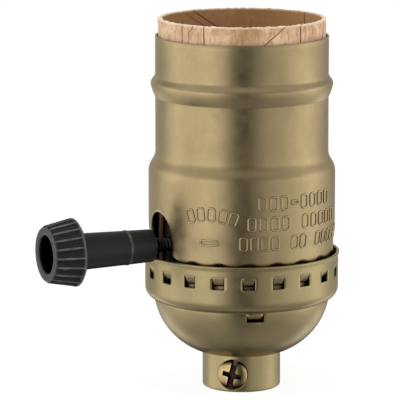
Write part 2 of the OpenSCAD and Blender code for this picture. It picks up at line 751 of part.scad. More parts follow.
module shell_rivets() color(bright_brass) for (s = [-1, 1]) translate([0, s * shell_rivet_y, 0]) {
    translate([0, 0, block_top_z - shell_rivet_l])
        cylinder(r = rivet_r, h = shell_rivet_l + thread_wall + bite);
    translate([0, 0, block_top_z + thread_wall]) cylinder(r = shell_rivet_head_r, h = shell_rivet_head_h);
}

module centre_contact() color(bright_brass) {
    difference() {
        translate([0, centre_w / 2, 0]) rotate([90, 0, 0]) linear_extrude(centre_w) polygon([
            [contact_foot_x1, contact_foot_z],
            [contact_foot_x0, contact_foot_z],
            [1.6, contact_tip_z],
            [contact_tip_x, contact_tip_z],
            [contact_tip_x, contact_tip_z + contact_t],
            [1.8, contact_tip_z + contact_t],
            [contact_foot_x0 + 0.2, contact_foot_z + contact_t],
            [contact_foot_x1, contact_foot_z + contact_t]
        ]);
        translate([centre_rivet_x, 0, contact_foot_z - past])
            cylinder(r = centre_rivet_r + hole_gap, h = 3 * past);
    }
    translate([0, 0, contact_tip_z + contact_t - bite]) cylinder(
        r1 = contact_button_r, r2 = contact_button_r * 0.6, h = contact_button_h + bite);
}

module centre_rivet() color(bright_brass) translate([centre_rivet_x, 0, 0]) {
    z0 = block_top_z - centre_rivet_l;
    z1 = contact_foot_z + contact_t;
    translate([0, 0, z0]) cylinder(r = centre_rivet_r, h = z1 + bite - z0);
    translate([0, 0, z1]) cylinder(r = centre_rivet_head_r, h = centre_rivet_head_h);
}

module load_contact() color(bright_brass) difference() {
    union() {
        translate([fixed_x, -contact_out_y, shaft_z - strip_w / 2])
            cube([strip_t, contact_out_y - contact_in_y, block_top_z - shaft_z + strip_w / 2]);
        load_foot(0);
    }
    translate([centre_rivet_x, 0, block_top_z - past]) cylinder(r = centre_rivet_r, h = 2 * past);
}

// Hole for a terminal screw through a plate on one side
module term_hole(s) {
    translate([0, s * (plate_y + past), term_screw_z]) rotate([s * 90, 0, 0])
        cylinder(r = term_screw_d / 2 + thread_gap, h = plate_t + 2 * past);
}

module hot_terminal_plate() color(bright_brass) {
    difference() {
        translate([-plate_w / 2, seat_y, plate_z0]) cube([plate_w, plate_t, plate_top_z - plate_z0]);
        term_hole(1);
    }
    translate([fixed_x, contact_in_y, shaft_z - strip_w / 2])
        cube([strip_t, seat_y - contact_in_y + bite, strip_w]);
}

module neutral_terminal_plate() color(steel) {
    difference() {
        translate([-plate_w / 2, -plate_y, neutral_z0]) cube([plate_w, plate_t, block_top_z - neutral_z0]);
        term_hole(-1);
    }
    difference() {
        neutral_foot(0);
        translate([0, -shell_rivet_y, block_top_z - past]) cylinder(r = rivet_r, h = 2 * past);
    }
}

module terminal_screw(s) {
    translate([0, s * plate_y, term_screw_z]) rotate([-s * 90, 0, 0]) {
        rotate([0, 0, term_slot_turn])
            screw_head(term_head_d, term_head_h, term_dome_h, term_slot_w, term_slot_depth);
        translate([0, 0, plate_t - term_screw_l])
            cylinder(r = term_screw_d / 2, h = term_screw_l - plate_t + bite);
    }
}

module hot_terminal_screw() color(bright_brass) terminal_screw(1);

module neutral_terminal_screw() color(steel) terminal_screw(-1);

// Arched leaf under the cam, standing on its two ends
module detent_spring() color(steel) intersection() {
    translate([cam_x + (cam_l - leaf_w) / 2, 0, leaf_top_z - leaf_r]) rotate([0, 90, 0]) difference() {
        cylinder(r = leaf_r, h = leaf_w);
        translate([0, 0, -past]) cylinder(r = leaf_r - leaf_t, h = leaf_w + 2 * past);
    }
    translate([cam_x, -chamber_w / 2, chamber_z0]) cube([cam_l, chamber_w, leaf_rise + past]);
}

// Places a piece built along +Z so that it points out along the shaft towards the knob
module along_shaft(x) {
    translate([x, 0, shaft_z]) rotate([0, -90, 0]) children();
}

module knob() color(phenolic) along_shaft(knob_x) difference() {
    head_s = knob_l - head_l;
    lean = atan((head_d1 - head_d2) / 2 / head_l);
    stem_slope = (stem_d2 - stem_d1) / 2 / (head_s - head_chamfer);
    ring_r = stem_d1 / 2 + stem_slope * ring_s + ring_out;
    groove_r = (pow(rib_groove_w / 2, 2) + pow(rib_groove_depth, 2)) / (2 * rib_groove_depth);
    rotate_extrude() polygon([
        [0, 0],
        [stem_d1 / 2 - 0.3, 0],
        [stem_d1 / 2, 0.3],
        [ring_r - ring_out, ring_s - 0.7],
        [ring_r, ring_s - 0.35],
        [ring_r, ring_s + 0.35],
        [ring_r - ring_out, ring_s + 0.7],
        [stem_d2 / 2, head_s - head_chamfer],
        [head_d1 / 2 - 2 * head_chamfer, head_s - head_chamfer],
        [head_d1 / 2, head_s],
        [head_d2 / 2 + 0.15, knob_l - 0.6],
        [head_d2 / 2 - 0.5, knob_l],
        [0, knob_l]
    ]);
    for (i = [0:rib_n - 1]) rotate([0, 0, i * 360 / rib_n])
        translate([head_d1 / 2 + groove_r - rib_groove_depth, 0, head_s])
            rotate([0, -lean, 0]) translate([0, 0, -past]) cylinder(r = groove_r, h = head_l - rib_rim_w + past);
    translate([0, 0, knob_l - recess_depth]) cylinder(r = recess_d / 2, h = recess_depth + past);
    translate([0, 0, -past]) cylinder(r = shaft_r, h = shaft_grip + past);
}

module knob_shaft() color(steel) difference() {
    union() {
        along_shaft(journal_x) cylinder(r = shaft_r, h = journal_x - knob_x + shaft_grip);
        along_shaft(shaft_end_x) cylinder(r = journal_r, h = shaft_end_x - journal_x + bite);
    }
    in_chamber(clip_x) difference() {
        cylinder(r = shaft_r + past, h = clip_t);
        translate([0, 0, -past]) cylinder(r = clip_groove_r, h = clip_t + 2 * past);
    }
}

// Places a piece built along +Z so that it points back along the shaft into the chamber
module in_chamber(x) {
    translate([x, 0, shaft_z]) rotate([0, 90, 0]) children();
}

module rotor_cam() color(brown_fibre) in_chamber(cam_x) difference() {
    union() {
        intersection() {
            translate([-cam_flat / 2, -cam_flat / 2, 0]) cube([cam_flat, cam_flat, cam_l + bite]);
            cylinder(r = cam_corner_d / 2, h = cam_l + bite);
        }
        translate([0, 0, cam_l]) cylinder(r = disc_d / 2, h = disc_t);
    }
    translate([0, 0, -past]) cylinder(r = shaft_r, h = cam_l + disc_t + 2 * past);
}

module rotor_contact() color(bright_brass) in_chamber(rotor_contact_x) difference() {
    intersection() {
        cylinder(r = lobe_d / 2, h = strip_t);
        translate([-lobe_w / 2, -lobe_d, -past]) cube([lobe_w, 2 * lobe_d, strip_t + 2 * past]);
    }
    translate([0, 0, -past]) cylinder(r = shaft_r, h = strip_t + 2 * past);
}

// Open ring that snaps into the shaft's groove behind the front bearing
module retaining_clip() color(steel) in_chamber(clip_x) difference() {
    cylinder(r = clip_r, h = clip_t);
    translate([0, 0, -past]) cylinder(r = clip_groove_r, h = clip_t + 2 * past);
    translate([0, -clip_groove_r * 0.8, -past]) cube([clip_r + past, clip_groove_r * 1.6, clip_t + 2 * past]);
}

outer_shell();
insulating_liner();
cap();
cap_hub();
cap_liner();
set_screw();
switch_base();
switch_body();
body_rivets();
screw_shell();
shell_rivets();
centre_contact();
centre_rivet();
load_contact();
hot_terminal_plate();
neutral_terminal_plate();
hot_terminal_screw();
neutral_terminal_screw();
detent_spring();
knob();
knob_shaft();
rotor_cam();
rotor_contact();
retaining_clip();
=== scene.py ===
import math
import random

import bmesh
import bpy
import numpy as np
from mathutils import Matrix, Vector


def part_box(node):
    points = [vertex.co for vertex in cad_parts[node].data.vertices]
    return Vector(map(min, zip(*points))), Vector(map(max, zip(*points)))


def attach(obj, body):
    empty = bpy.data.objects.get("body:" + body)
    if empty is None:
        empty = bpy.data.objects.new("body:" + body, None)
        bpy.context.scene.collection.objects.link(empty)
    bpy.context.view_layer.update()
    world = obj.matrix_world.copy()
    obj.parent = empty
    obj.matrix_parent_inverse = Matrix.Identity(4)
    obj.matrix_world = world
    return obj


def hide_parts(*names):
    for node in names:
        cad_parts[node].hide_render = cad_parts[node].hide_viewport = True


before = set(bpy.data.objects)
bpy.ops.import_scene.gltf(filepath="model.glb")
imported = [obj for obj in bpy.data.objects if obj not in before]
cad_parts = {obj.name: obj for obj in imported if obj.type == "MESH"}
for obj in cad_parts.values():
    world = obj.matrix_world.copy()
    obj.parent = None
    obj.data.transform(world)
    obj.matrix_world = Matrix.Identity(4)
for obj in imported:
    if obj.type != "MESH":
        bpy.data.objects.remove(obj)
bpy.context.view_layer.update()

# Sizes in this script are millimetres and degrees unless a name says otherwise
MM = 0.001

# Heights and radii read from the frame
CAP_LO, CAP_HI = (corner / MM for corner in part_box("cap"))
HUB_LO, HUB_HI = (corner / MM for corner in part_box("cap_hub"))
SHELL_LO, SHELL_HI = (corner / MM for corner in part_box("outer_shell"))
LINER_LO, LINER_HI = (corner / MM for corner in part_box("insulating_liner"))
KNOB_LO, KNOB_HI = (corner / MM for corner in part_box("knob"))
SHAFT_LO, SHAFT_HI = (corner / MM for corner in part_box("knob_shaft"))
LAMP_LO, LAMP_HI = (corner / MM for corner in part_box("screw_shell"))
RIM_Z = CAP_HI.z
SHAFT_Z = (SHAFT_LO.z + SHAFT_HI.z) / 2
SHAFT_R = (SHAFT_HI.z - SHAFT_LO.z) / 2
HUB_R = HUB_HI.x
HUB_TOP = HUB_HI.z
HUB_H = CAP_LO.z

# Outer shell, with the same profile as its solid
SKIRT_R = SHELL_HI.y
SHELL_R = SKIRT_R - 1.35
SKIRT_LOW_R = SKIRT_R - 0.3
SHELL_WALL = 0.4
BEAD_Z, BEAD_OUT, BEAD_UP, BEAD_DOWN = 32.85, 0.87, 2.0, 2.65
STEP_Z, STEP_H = 15.5, 4.5
TUCK_Z, TUCK_H = 6.1, 4.0
FLUTE_W, FLUTE_DEPTH, FLUTE_TOP = 4.5, 0.55, 0.55
SLOT_W, SLOT_RISE, SLOT_SHIFT = 8.3, 6.6, -0.8
SLOT_FLARE, SLOT_FLARE_Z, LINER_SLOT_MARGIN = 1.3, 1.3, 1.1

# Cap, with the same profile as its solid
CAP_R = SKIRT_LOW_R + 1.0
CAP_WALL = 0.5
LIP_FLARE, LIP_H = 0.2, 1.0
SHOULDER_R, SHOULDER_OUT, SHOULDER_RISE = 2.3, 1.8, 0.2
FOOT_FLAT, BOWL_H, BOWL_OFF = 1.0, 10.2, 3.9
WINDOW_N, WINDOW_W, WINDOW_H, WINDOW_DROP, WINDOW_ANGLE = 20, 2.45, 2.3, 2.1, 14.5
BOWL_WINDOW_W, BOWL_WINDOW_H, BOWL_WINDOW_ANGLE = 3.4, 1.7, 253

# Camera, from the photograph's viewing angle
CAMERA_AZIMUTH, CAMERA_ELEVATION = -25.0, 10.1
CAMERA_DISTANCE = 643.0
CAMERA_AIM = (-7.34, 3.42, 36.6)
CAMERA_LENS = 298.0
FACING = 270 + CAMERA_AZIMUTH


def ease(t):
    """Smooth rise from 0 to 1."""
    t = min(1.0, max(0.0, t))
    return (1 - math.cos(math.pi * t)) / 2


def spread(lo, hi, step):
    """Evenly spaced values from lo up to but not including hi, about one step apart."""
    n = max(1, round((hi - lo) / step))
    return [lo + (hi - lo) * i / n for i in range(n)]


def polar(r, angle, z):
    """Point in millimetres at an angle round the socket's axis."""
    a = math.radians(angle)
    return Vector((r * math.cos(a), r * math.sin(a), z))


def make_object(name, verts, faces, material, body, replaces=(), smooth=True):
    """Makes a mesh piece from points in millimetres, gives it its finish and lets it ride on a body."""
    mesh = bpy.data.meshes.new(name)
    mesh.from_pydata([tuple(Vector(v) * MM) for v in verts], [], faces)
    work = bmesh.new()
    work.from_mesh(mesh)
    bmesh.ops.remove_doubles(work, verts=work.verts, dist=1e-6)
    loose = [v for v in work.verts if not v.link_faces]
    bmesh.ops.delete(work, geom=loose, context="VERTS")
    bmesh.ops.recalc_face_normals(work, faces=work.faces)
    for face in work.faces:
        face.smooth = smooth
    work.to_mesh(mesh)
    work.free()
    mesh.materials.append(material)
    piece = bpy.data.objects.new(name, mesh)
    bpy.context.scene.collection.objects.link(piece)
    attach(piece, body)
    if replaces:
        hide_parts(*replaces)
    return piece


def grid(rows, cols, point, keep=None, closed=True):
    """Points and faces of a sheet of rows by columns; closed joins the last column to the first."""
    verts = [point(i, j) for i in range(rows) for j in range(cols)]
    faces = []
    for i in range(rows - 1):
        for j in range(cols if closed else cols - 1):
            k = (j + 1) % cols
            if keep is None or keep(i, j):
                faces.append((i * cols + j, i * cols + k, (i + 1) * cols + k, (i + 1) * cols + j))
    return verts, faces


def turned(profile, cols, place=None, wave=None):
    """Closed solid of revolution from a profile of (radius, height) points; wave bends the radius."""
    count = len(profile)

    def point(i, j):
        r, z = profile[i]
        a = 2 * math.pi * j / cols
        if wave:
            r, z = wave(r, z, a)
        p = Vector((r * math.cos(a), r * math.sin(a), z))
        return place @ p if place else p

    verts, faces = grid(count, cols, point)
    for row in (0, count - 1):
        if profile[row][0] > 1e-6:
            ring = [row * cols + j for j in range(cols)]
            faces.append(tuple(ring if row else reversed(ring)))
    return verts, faces


def add_sheet_wall(piece, wall):
    """Gives a sheet its thickness, inwards from its outer face."""
    solid = piece.modifiers.new("wall", "SOLIDIFY")
    solid.thickness = wall * MM
    solid.offset = -1
    solid.use_even_offset = True
    return piece


def soften_edges(piece, width, segments=2, angle=40):
    """Rounds a piece's sharp edges a little."""
    bevel = piece.modifiers.new("edges", "BEVEL")
    bevel.width = width * MM
    bevel.segments = segments
    bevel.limit_method = "ANGLE"
    bevel.angle_limit = math.radians(angle)
    bevel.harden_normals = False
    return piece


def join_parts(parts):
    """Joins lists of points and faces into one."""
    verts, faces = [], []
    for part_verts, part_faces in parts:
        start = len(verts)
        verts += part_verts
        faces += [tuple(start + i for i in face) for face in part_faces]
    return verts, faces


# Materials


class Shader:
    """Short way to build a node material."""

    def __init__(self, name):
        self.material = bpy.data.materials.new(name)
        self.material.use_nodes = True
        self.tree = self.material.node_tree
        self.shader = self.tree.nodes["Principled BSDF"]
        self.coords = self.tree.nodes.new("ShaderNodeTexCoord").outputs["Object"]

    def add(self, kind, inputs=(), **settings):
        """Adds a node; inputs maps socket names to values or to other sockets."""
        node = self.tree.nodes.new("ShaderNode" + kind)
        for key, value in settings.items():
            setattr(node, key, value)
        for key, value in dict(inputs).items():
            if isinstance(value, bpy.types.NodeSocket):
                self.tree.links.new(value, node.inputs[key])
            else:
                node.inputs[key].default_value = value
        return node

    def stretched(self, scale):
        """The object's coordinates, scaled by three factors."""
        return self.add("Mapping", {"Vector": self.coords, "Scale": scale}).outputs[0]

    def noise(self, scale, detail=3.0, rough=0.55, vector=None):
        return self.add("TexNoise", {
            "Vector": vector or self.coords, "Scale": scale, "Detail": detail, "Roughness": rough,
        }).outputs["Fac"]

    def span(self, value, lo, hi, out_lo=0.0, out_hi=1.0):
        """Maps a stretch of values onto another one, held at its ends."""
        return self.add("MapRange", {
            "Value": value, "From Min": lo, "From Max": hi, "To Min": out_lo, "To Max": out_hi,
        }).outputs[0]

    def math(self, operation, a, b=0.0):
        node = self.add("Math", {0: a, 1: b}, operation=operation)
        return node.outputs[0]

    def mix(self, factor, a, b):
        """Mixes two colours or colour sockets."""
        node = self.add("Mix", {"Factor": factor}, data_type="RGBA")
        for index, value in ((6, a), (7, b)):
            if isinstance(value, bpy.types.NodeSocket):
                self.tree.links.new(value, node.inputs[index])
            else:
                node.inputs[index].default_value = (*value, 1)
        return node.outputs[2]

    def edges(self, lo=0.52, hi=0.6):
        """High on the piece's outer edges."""
        return self.span(self.add("NewGeometry").outputs["Pointiness"], lo, hi)

    def set(self, **sockets):
        """Sets or links the main shader's sockets."""
        names = {"color": "Base Color", "rough": "Roughness", "metal": "Metallic", "normal": "Normal",
                 "coat": "Coat Weight", "coat_rough": "Coat Roughness", "specular": "Specular IOR Level",
                 "sheen": "Sheen Weight"}
        for key, value in sockets.items():
            socket = self.shader.inputs[names[key]]
            if isinstance(value, bpy.types.NodeSocket):
                self.tree.links.new(value, socket)
            else:
                socket.default_value = value

    def bump(self, height, strength, distance, normal=None):
        inputs = {"Height": height, "Strength": strength, "Distance": distance}
        if normal:
            inputs["Normal"] = normal
        return self.add("Bump", inputs).outputs[0]


def metal(name, base, dark, bright, rough, grain=2600.0, streak=(1, 1, 1), bump=0.05, patina=0.5, hollow_shade_and_oxide=0.0,
          hollow_shade_and_oxide_span=(0.55, 0.85), worn=0.7):
    """Satin or polished metal with patina, fine grain and worn edges painted bright, partly as a painted edge
    highlight; painted shade darkens its recesses, and on the set screw also stands for oxide.
    """
    s = Shader(name)
    smudge = s.span(s.noise(170, 4), 0.35, 0.75)
    fine = s.noise(grain, 2, vector=s.stretched(streak))
    color = s.mix(s.math("MULTIPLY", smudge, patina), base, dark)
    color = s.mix(s.span(fine, 0.35, 0.7, 0.0, 0.16), color, dark)
    # Edges painted brighter: partly wear, partly a painted edge highlight
    color = s.mix(s.math("MULTIPLY", s.edges(), worn), color, bright)
    if hollow_shade_and_oxide:
        # Painted shade: near-black goes where ambient occlusion finds the surface hemmed in
        open_air = s.add("AmbientOcclusion", {"Distance": hollow_shade_and_oxide * MM}).outputs["AO"]
        color = s.mix(s.span(open_air, hollow_shade_and_oxide_span[0], hollow_shade_and_oxide_span[1], 1.0, 0.0), color, (0.03, 0.018, 0.016))
    wear = s.noise(420, 5)
    s.set(color=color, metal=1.0, rough=s.span(wear, 0.3, 0.7, rough[0], rough[1]),
          normal=s.bump(fine, bump, 0.00004))
    return s.material


def moulded(name, base, light, rough, bump=0.12, grain=1500.0, coat=0.0):
    """Moulded plastic with a fine skin, faint dust and worn edges."""
    s = Shader(name)
    fine = s.noise(grain, 3)
    haze = s.span(s.noise(240, 4), 0.4, 0.75)
    color = s.mix(s.math("MULTIPLY", haze, 0.35), base, light)
    color = s.mix(s.math("MULTIPLY", s.edges(0.51, 0.58), 0.55), color, light)
    s.set(color=color, rough=s.span(fine, 0.3, 0.7, rough[0], rough[1]),
          normal=s.bump(fine, bump, 0.00003), coat=coat)
    return s.material


def fibre_paper(name, outside, inside, line, fleck):
    """Wound fibre paper: mottled, flecked, with a pale cut rim and darker inside; painted light brightens the inside
    towards one side.
    """
    s = Shader(name)
    mottle = s.span(s.noise(330, 6, 0.7), 0.42, 0.66)
    pale = s.span(s.noise(520, 5, 0.7, s.stretched((1, 1, 0.5))), 0.55, 0.75)
    fibres = s.noise(1500, 4, 0.7, s.stretched((1, 1, 0.25)))
    position = s.add("SeparateXYZ", {0: s.coords}).outputs
    radius = s.add("VectorMath", {
        0: s.add("CombineXYZ", {0: position[0], 1: position[1]}).outputs[0],
    }, operation="LENGTH").outputs["Value"]
    middle = (LINER_HI.y - 0.35) * MM
    outer = s.span(radius, middle - 0.0001, middle + 0.0001)
    color = s.mix(outer, inside, outside)
    color = s.mix(s.math("MULTIPLY", mottle, 0.75), color, fleck)
    color = s.mix(s.math("MULTIPLY", s.math("MULTIPLY", pale, outer), 0.75), color, (0.90, 0.72, 0.52))
    color = s.mix(s.span(fibres, 0.5, 0.7, 0.0, 0.7), color, line)
    right = math.radians(FACING + 90)
    along = s.add("VectorMath", {
        0: s.coords, 1: (math.cos(right), math.sin(right), 0),
    }, operation="DOT_PRODUCT").outputs["Value"]
    from_stain = s.math("ABSOLUTE", s.math("SUBTRACT", along, 0.9 * MM))
    stain = s.math("MULTIPLY", s.span(from_stain, 1.5 * MM, 3.8 * MM, 0.7, 0.0), outer)
    color = s.mix(s.math("MULTIPLY", stain, s.span(mottle, 0, 1, 0.75, 1.0)), color, (0.36, 0.19, 0.075))
    # Painted light: the inside is mixed lighter towards the right, where light falls in
    inner_painted_light = s.math("MULTIPLY", s.span(along, 3 * MM, 13 * MM, 0.0, 0.65), s.math("SUBTRACT", 1.0, outer))
    color = s.mix(inner_painted_light, color, (0.50, 0.28, 0.12))
    rim = s.span(position[2], (LINER_HI.z - 0.45) * MM, (LINER_HI.z - 0.05) * MM)
    color = s.mix(s.math("MULTIPLY", rim, s.span(fibres, 0.2, 0.6)), color, (0.93, 0.78, 0.60))
    s.set(color=color, rough=s.span(mottle, 0, 1, 0.72, 0.9), specular=0.25, sheen=0.15,
          normal=s.bump(fibres, 0.35, 0.00012))
    return s.material


def knob_plastic(name):
    """Charcoal plastic with painted highlights along its ridges, rims, stem ring and sharp edges, varied like wear, and
    painted shade in its recess.
    """
    s = Shader(name)
    black, grey = (0.008, 0.008, 0.0085), (0.15, 0.15, 0.155)
    fine = s.noise(1500, 3)
    # Noise that varies the painted highlights, like wear
    worn = s.span(s.noise(700, 4), 0.3, 0.65, 0.35, 1.0)
    position = s.add("SeparateXYZ", {0: s.coords}).outputs
    flat = s.add("CombineXYZ", {1: position[1], 2: s.math("SUBTRACT", position[2], SHAFT_Z * MM)}).outputs[0]
    radius = s.add("VectorMath", {0: flat}, operation="LENGTH").outputs["Value"]
    head_x = (KNOB_LO.x + 5.9) * MM
    crest = s.span(position[0], KNOB_LO.x * MM, head_x, 5.45 * MM, 6.6 * MM)
    on_head = s.span(position[0], head_x, head_x + 0.3 * MM, 1.0, 0.0)
    # Painted highlights: along the rib crests, on the front face's outer rim and bore edge, round the stem ring and on
    # sharp edges, mixed towards grey
    ridge = s.math("MULTIPLY", s.span(s.math("SUBTRACT", radius, crest), -0.12 * MM, -0.01 * MM), on_head)
    at_front = s.span(position[0], KNOB_LO.x * MM, (KNOB_LO.x + 0.3) * MM, 1.0, 0.0)
    rim = s.math("MAXIMUM", s.span(radius, 5.15 * MM, 5.35 * MM, 0.25, 0.9), s.span(radius, 3.85 * MM, 4.05 * MM, 0.8, 0.0))
    from_ring = s.math("ABSOLUTE", s.math("SUBTRACT", position[0], (KNOB_HI.x - 5.4) * MM))
    ring = s.span(from_ring, 0.12 * MM, 0.4 * MM, 0.6, 0.0)
    light = s.math("MAXIMUM", s.math("MAXIMUM", ridge, s.math("MULTIPLY", rim, at_front)), ring)
    light = s.math("MULTIPLY", light, worn)
    light = s.math("MAXIMUM", light, s.math("MULTIPLY", s.edges(0.51, 0.56), 0.7))
    # Painted shade: near black inside the head's recess and where ambient occlusion finds the surface hemmed in, with
    # less specular there
    open_air = s.add("AmbientOcclusion", {"Distance": 5 * MM}).outputs["AO"]
    inside = s.math("MULTIPLY", s.span(radius, 3.66 * MM, 3.72 * MM, 1.0, 0.0), on_head)
    depth = s.math("MULTIPLY", s.span(open_air, 0.3, 0.75), s.math("SUBTRACT", 1.0, inside))
    color = s.mix(s.math("MULTIPLY", light, 0.8), black, grey)
    color = s.mix(depth, (0.0006, 0.0006, 0.0006), color)
    s.set(color=color, rough=s.span(fine, 0.3, 0.7, 0.32, 0.46), specular=s.span(depth, 0, 1, 0.02, 0.5),
          normal=s.bump(fine, 0.12, 0.00003))
    return s.material


# Recess darkening in these metals is painted shade, on the screw brass also oxide
SATIN_BRASS = metal("satin_brass", (0.62, 0.475, 0.25), (0.40, 0.32, 0.17), (0.80, 0.64, 0.38),
                    (0.30, 0.40), streak=(1, 1, 0.2), hollow_shade_and_oxide=1.4, hollow_shade_and_oxide_span=(0.5, 0.8))
CAP_BRASS = metal("cap_brass", (0.58, 0.46, 0.24), (0.36, 0.31, 0.16), (0.80, 0.66, 0.40),
                  (0.30, 0.40), streak=(1, 1, 2.5), worn=0.2)
# Tab brass: the cap brass a little darker, painted shade for the tabs bent in under the collar
TAB_BRASS = metal("tab_brass", (0.56, 0.44, 0.23), (0.34, 0.29, 0.15), (0.80, 0.66, 0.40),
                  (0.30, 0.40), hollow_shade_and_oxide=1.8, hollow_shade_and_oxide_span=(0.45, 0.8))
BRIGHT_BRASS = metal("bright_brass", (0.80, 0.58, 0.27), (0.50, 0.34, 0.14), (0.92, 0.74, 0.42),
                     (0.16, 0.30), grain=1800, patina=0.35)
SCREW_BRASS = metal("screw_brass", (0.78, 0.57, 0.27), (0.42, 0.28, 0.12), (0.92, 0.74, 0.42),
                    (0.22, 0.34), grain=1800, patina=0.5, hollow_shade_and_oxide=2.5, hollow_shade_and_oxide_span=(0.7, 0.95))
COPPERED = metal("contact_brass", (0.78, 0.56, 0.30), (0.46, 0.30, 0.13), (0.9, 0.7, 0.42),
                 (0.2, 0.36), grain=1500, patina=0.6)
PLATED_STEEL = metal("plated_steel", (0.60, 0.60, 0.58), (0.36, 0.36, 0.36), (0.78, 0.78, 0.76),
                     (0.18, 0.34), grain=2200, patina=0.4)
SPRING_STEEL = metal("spring_steel", (0.42, 0.43, 0.45), (0.22, 0.22, 0.24), (0.62, 0.63, 0.65),
                     (0.22, 0.38), grain=2600, patina=0.5)
SHAFT_STEEL = metal("shaft_steel", (0.055, 0.052, 0.05), (0.02, 0.018, 0.018), (0.2, 0.19, 0.18),
                    (0.3, 0.45), grain=2200, patina=0.6)
PHENOLIC = moulded("black_phenolic", (0.012, 0.011, 0.011), (0.05, 0.045, 0.04), (0.12, 0.24),
                   bump=0.05, coat=0.3)
KNOB_PLASTIC = knob_plastic("knob_phenolic")
BROWN_FIBRE = moulded("brown_fibre", (0.22, 0.07, 0.03), (0.36, 0.16, 0.08), (0.4, 0.6))
PAPER = fibre_paper("fibre_paper", (0.78, 0.53, 0.33), (0.34, 0.17, 0.062), (0.30, 0.14, 0.055),
                    (0.42, 0.22, 0.10))
# Seam strips are painted shadow along the liner's joints and creases
SEAM_SHADE = moulded("seam_shadow", (0.13, 0.05, 0.02), (0.22, 0.10, 0.045), (0.8, 0.95), bump=0.3)


# Outer shell


def shell_radius(z):
    """Radius of the shell's outer face at a height."""
    h = z - RIM_Z
    if h >= BEAD_Z:
        return SHELL_R + BEAD_OUT * ease((BEAD_Z + BEAD_UP - h) / BEAD_UP) ** 1.25
    if h >= BEAD_Z - BEAD_DOWN:
        t = (BEAD_Z - h) / BEAD_DOWN
        return SHELL_R + BEAD_OUT * (1 - t ** 1.5)
    if h >= STEP_Z:
        return SHELL_R + 1.35 * ease(ease((STEP_Z + STEP_H - h) / STEP_H) * 0.45 + (STEP_Z + STEP_H - h) / STEP_H * 0.55)
    return SKIRT_R - 0.3 * ease((TUCK_Z - h) / TUCK_H)


def flute_dent(angle, z):
    """Depth of the pressed flutes in the skirt's lower edge."""
    ball = (FLUTE_W ** 2 / 4 + FLUTE_DEPTH ** 2) / (2 * FLUTE_DEPTH)
    pitch = 360 / WINDOW_N
    off = (angle - WINDOW_ANGLE + pitch / 2) % pitch - pitch / 2
    u = math.radians(off) * SKIRT_LOW_R
    top = RIM_Z + FLUTE_TOP - FLUTE_W / 2
    low = RIM_Z - WINDOW_DROP - WINDOW_H - 0.3 + FLUTE_W / 2
    v = max(0, z - top, low - z)
    inside = ball ** 2 - u ** 2 - v ** 2
    depth = math.sqrt(inside) - (ball - FLUTE_DEPTH) if inside > 0 else -1
    return (depth + math.sqrt(depth ** 2 + 0.008)) / 2


def slot_distance(y, z, margin, flare):
    """Signed distance to the shaft slot's outline, negative inside the slot."""
    half = SLOT_W / 2 + margin
    arch = SHAFT_Z + SLOT_RISE + margin - half
    y = y - SLOT_SHIFT
    if z > arch:
        return math.hypot(y, z - arch) - half
    widen = flare * ease((RIM_Z + SLOT_FLARE_Z - z) / 1.7)
    return abs(y) - half - widen


def cut_slot(verts, faces, radius_at, margin, flare):
    """Takes the slot out of a sheet and draws the sheet's points beside it onto the slot's outline."""
    def depth(v):
        return slot_distance(v.y, v.z, margin, flare) if v.x < 0 else 99.0

    inside = [depth(v) < 0 for v in verts]
    kept = [f for f in faces if sum(inside[i] for i in f) < 2]
    dropped = set(i for f in faces if sum(inside[i] for i in f) >= 2 for i in f)
    border = set(i for f in kept for i in f if i in dropped or inside[i])
    small = 0.02
    for i in border:
        v = verts[i]
        for _ in range(3):
            d = depth(v)
            gy = (depth(Vector((v.x, v.y + small, v.z))) - d) / small
            gz = (depth(Vector((v.x, v.y, v.z + small))) - d) / small
            size = max(0.2, math.hypot(gy, gz))
            v.y -= d * gy / size ** 2
            v.z -= d * gz / size ** 2
        r = radius_at(math.degrees(math.atan2(v.y, v.x)), v.z)
        v.x = -math.sqrt(max(1.0, r ** 2 - v.y ** 2))
    return verts, kept


def shell_surface(angle, z):
    a = math.radians(angle)
    sway = 0.012 * math.sin(3 * a + z * 0.09) + 0.008 * math.sin(5 * a - z * 0.21 + 1)
    return shell_radius(z) - flute_dent(angle % 360, z) + sway


def build_shell():
    heights = (
        spread(SHELL_LO.z, RIM_Z - 5.2, 0.6) + spread(RIM_Z - 5.2, RIM_Z + 9.5, 0.3)
        + spread(RIM_Z + 9.5, RIM_Z + STEP_Z - 0.3, 1.2)
        + spread(RIM_Z + STEP_Z - 0.3, RIM_Z + STEP_Z + STEP_H + 0.3, 0.35)
        + spread(RIM_Z + STEP_Z + STEP_H + 0.3, RIM_Z + BEAD_Z - BEAD_DOWN - 0.3, 1.4)
        + spread(RIM_Z + BEAD_Z - BEAD_DOWN - 0.3, RIM_Z + BEAD_Z + BEAD_UP + 0.3, 0.16)
        + spread(RIM_Z + BEAD_Z + BEAD_UP + 0.3, SHELL_HI.z, 1.2) + [SHELL_HI.z]
    )
    cols = 360

    def point(i, j):
        angle = 360 * j / cols
        z = heights[i]
        return polar(shell_surface(angle, z), angle, z)

    verts, faces = grid(len(heights), cols, point)
    verts, faces = cut_slot(verts, faces, shell_surface, 0, SLOT_FLARE)
    shell = make_object("outer_shell_sheet", verts, faces, SATIN_BRASS, "shell_cover",
                        replaces=["outer_shell"])
    add_sheet_wall(shell, SHELL_WALL)
    soften_edges(shell, 0.09, 1, 60)
    return shell


def bar_path(length, height, samples=7):
    """Closed outline of a bar with rounded corners, as points along and across."""
    r = min(length / 2, height / 2, 0.45)
    a, b = length / 2 - r, height / 2 - r
    points = []
    for cx, cy, start in ((a, b, 0), (-a, b, 90), (-a, -b, 180), (a, -b, 270)):
        for i in range(samples):
            t = math.radians(start + 90 * i / (samples - 1))
            points.append((cx + r * math.cos(t), cy + r * math.sin(t)))
    return points


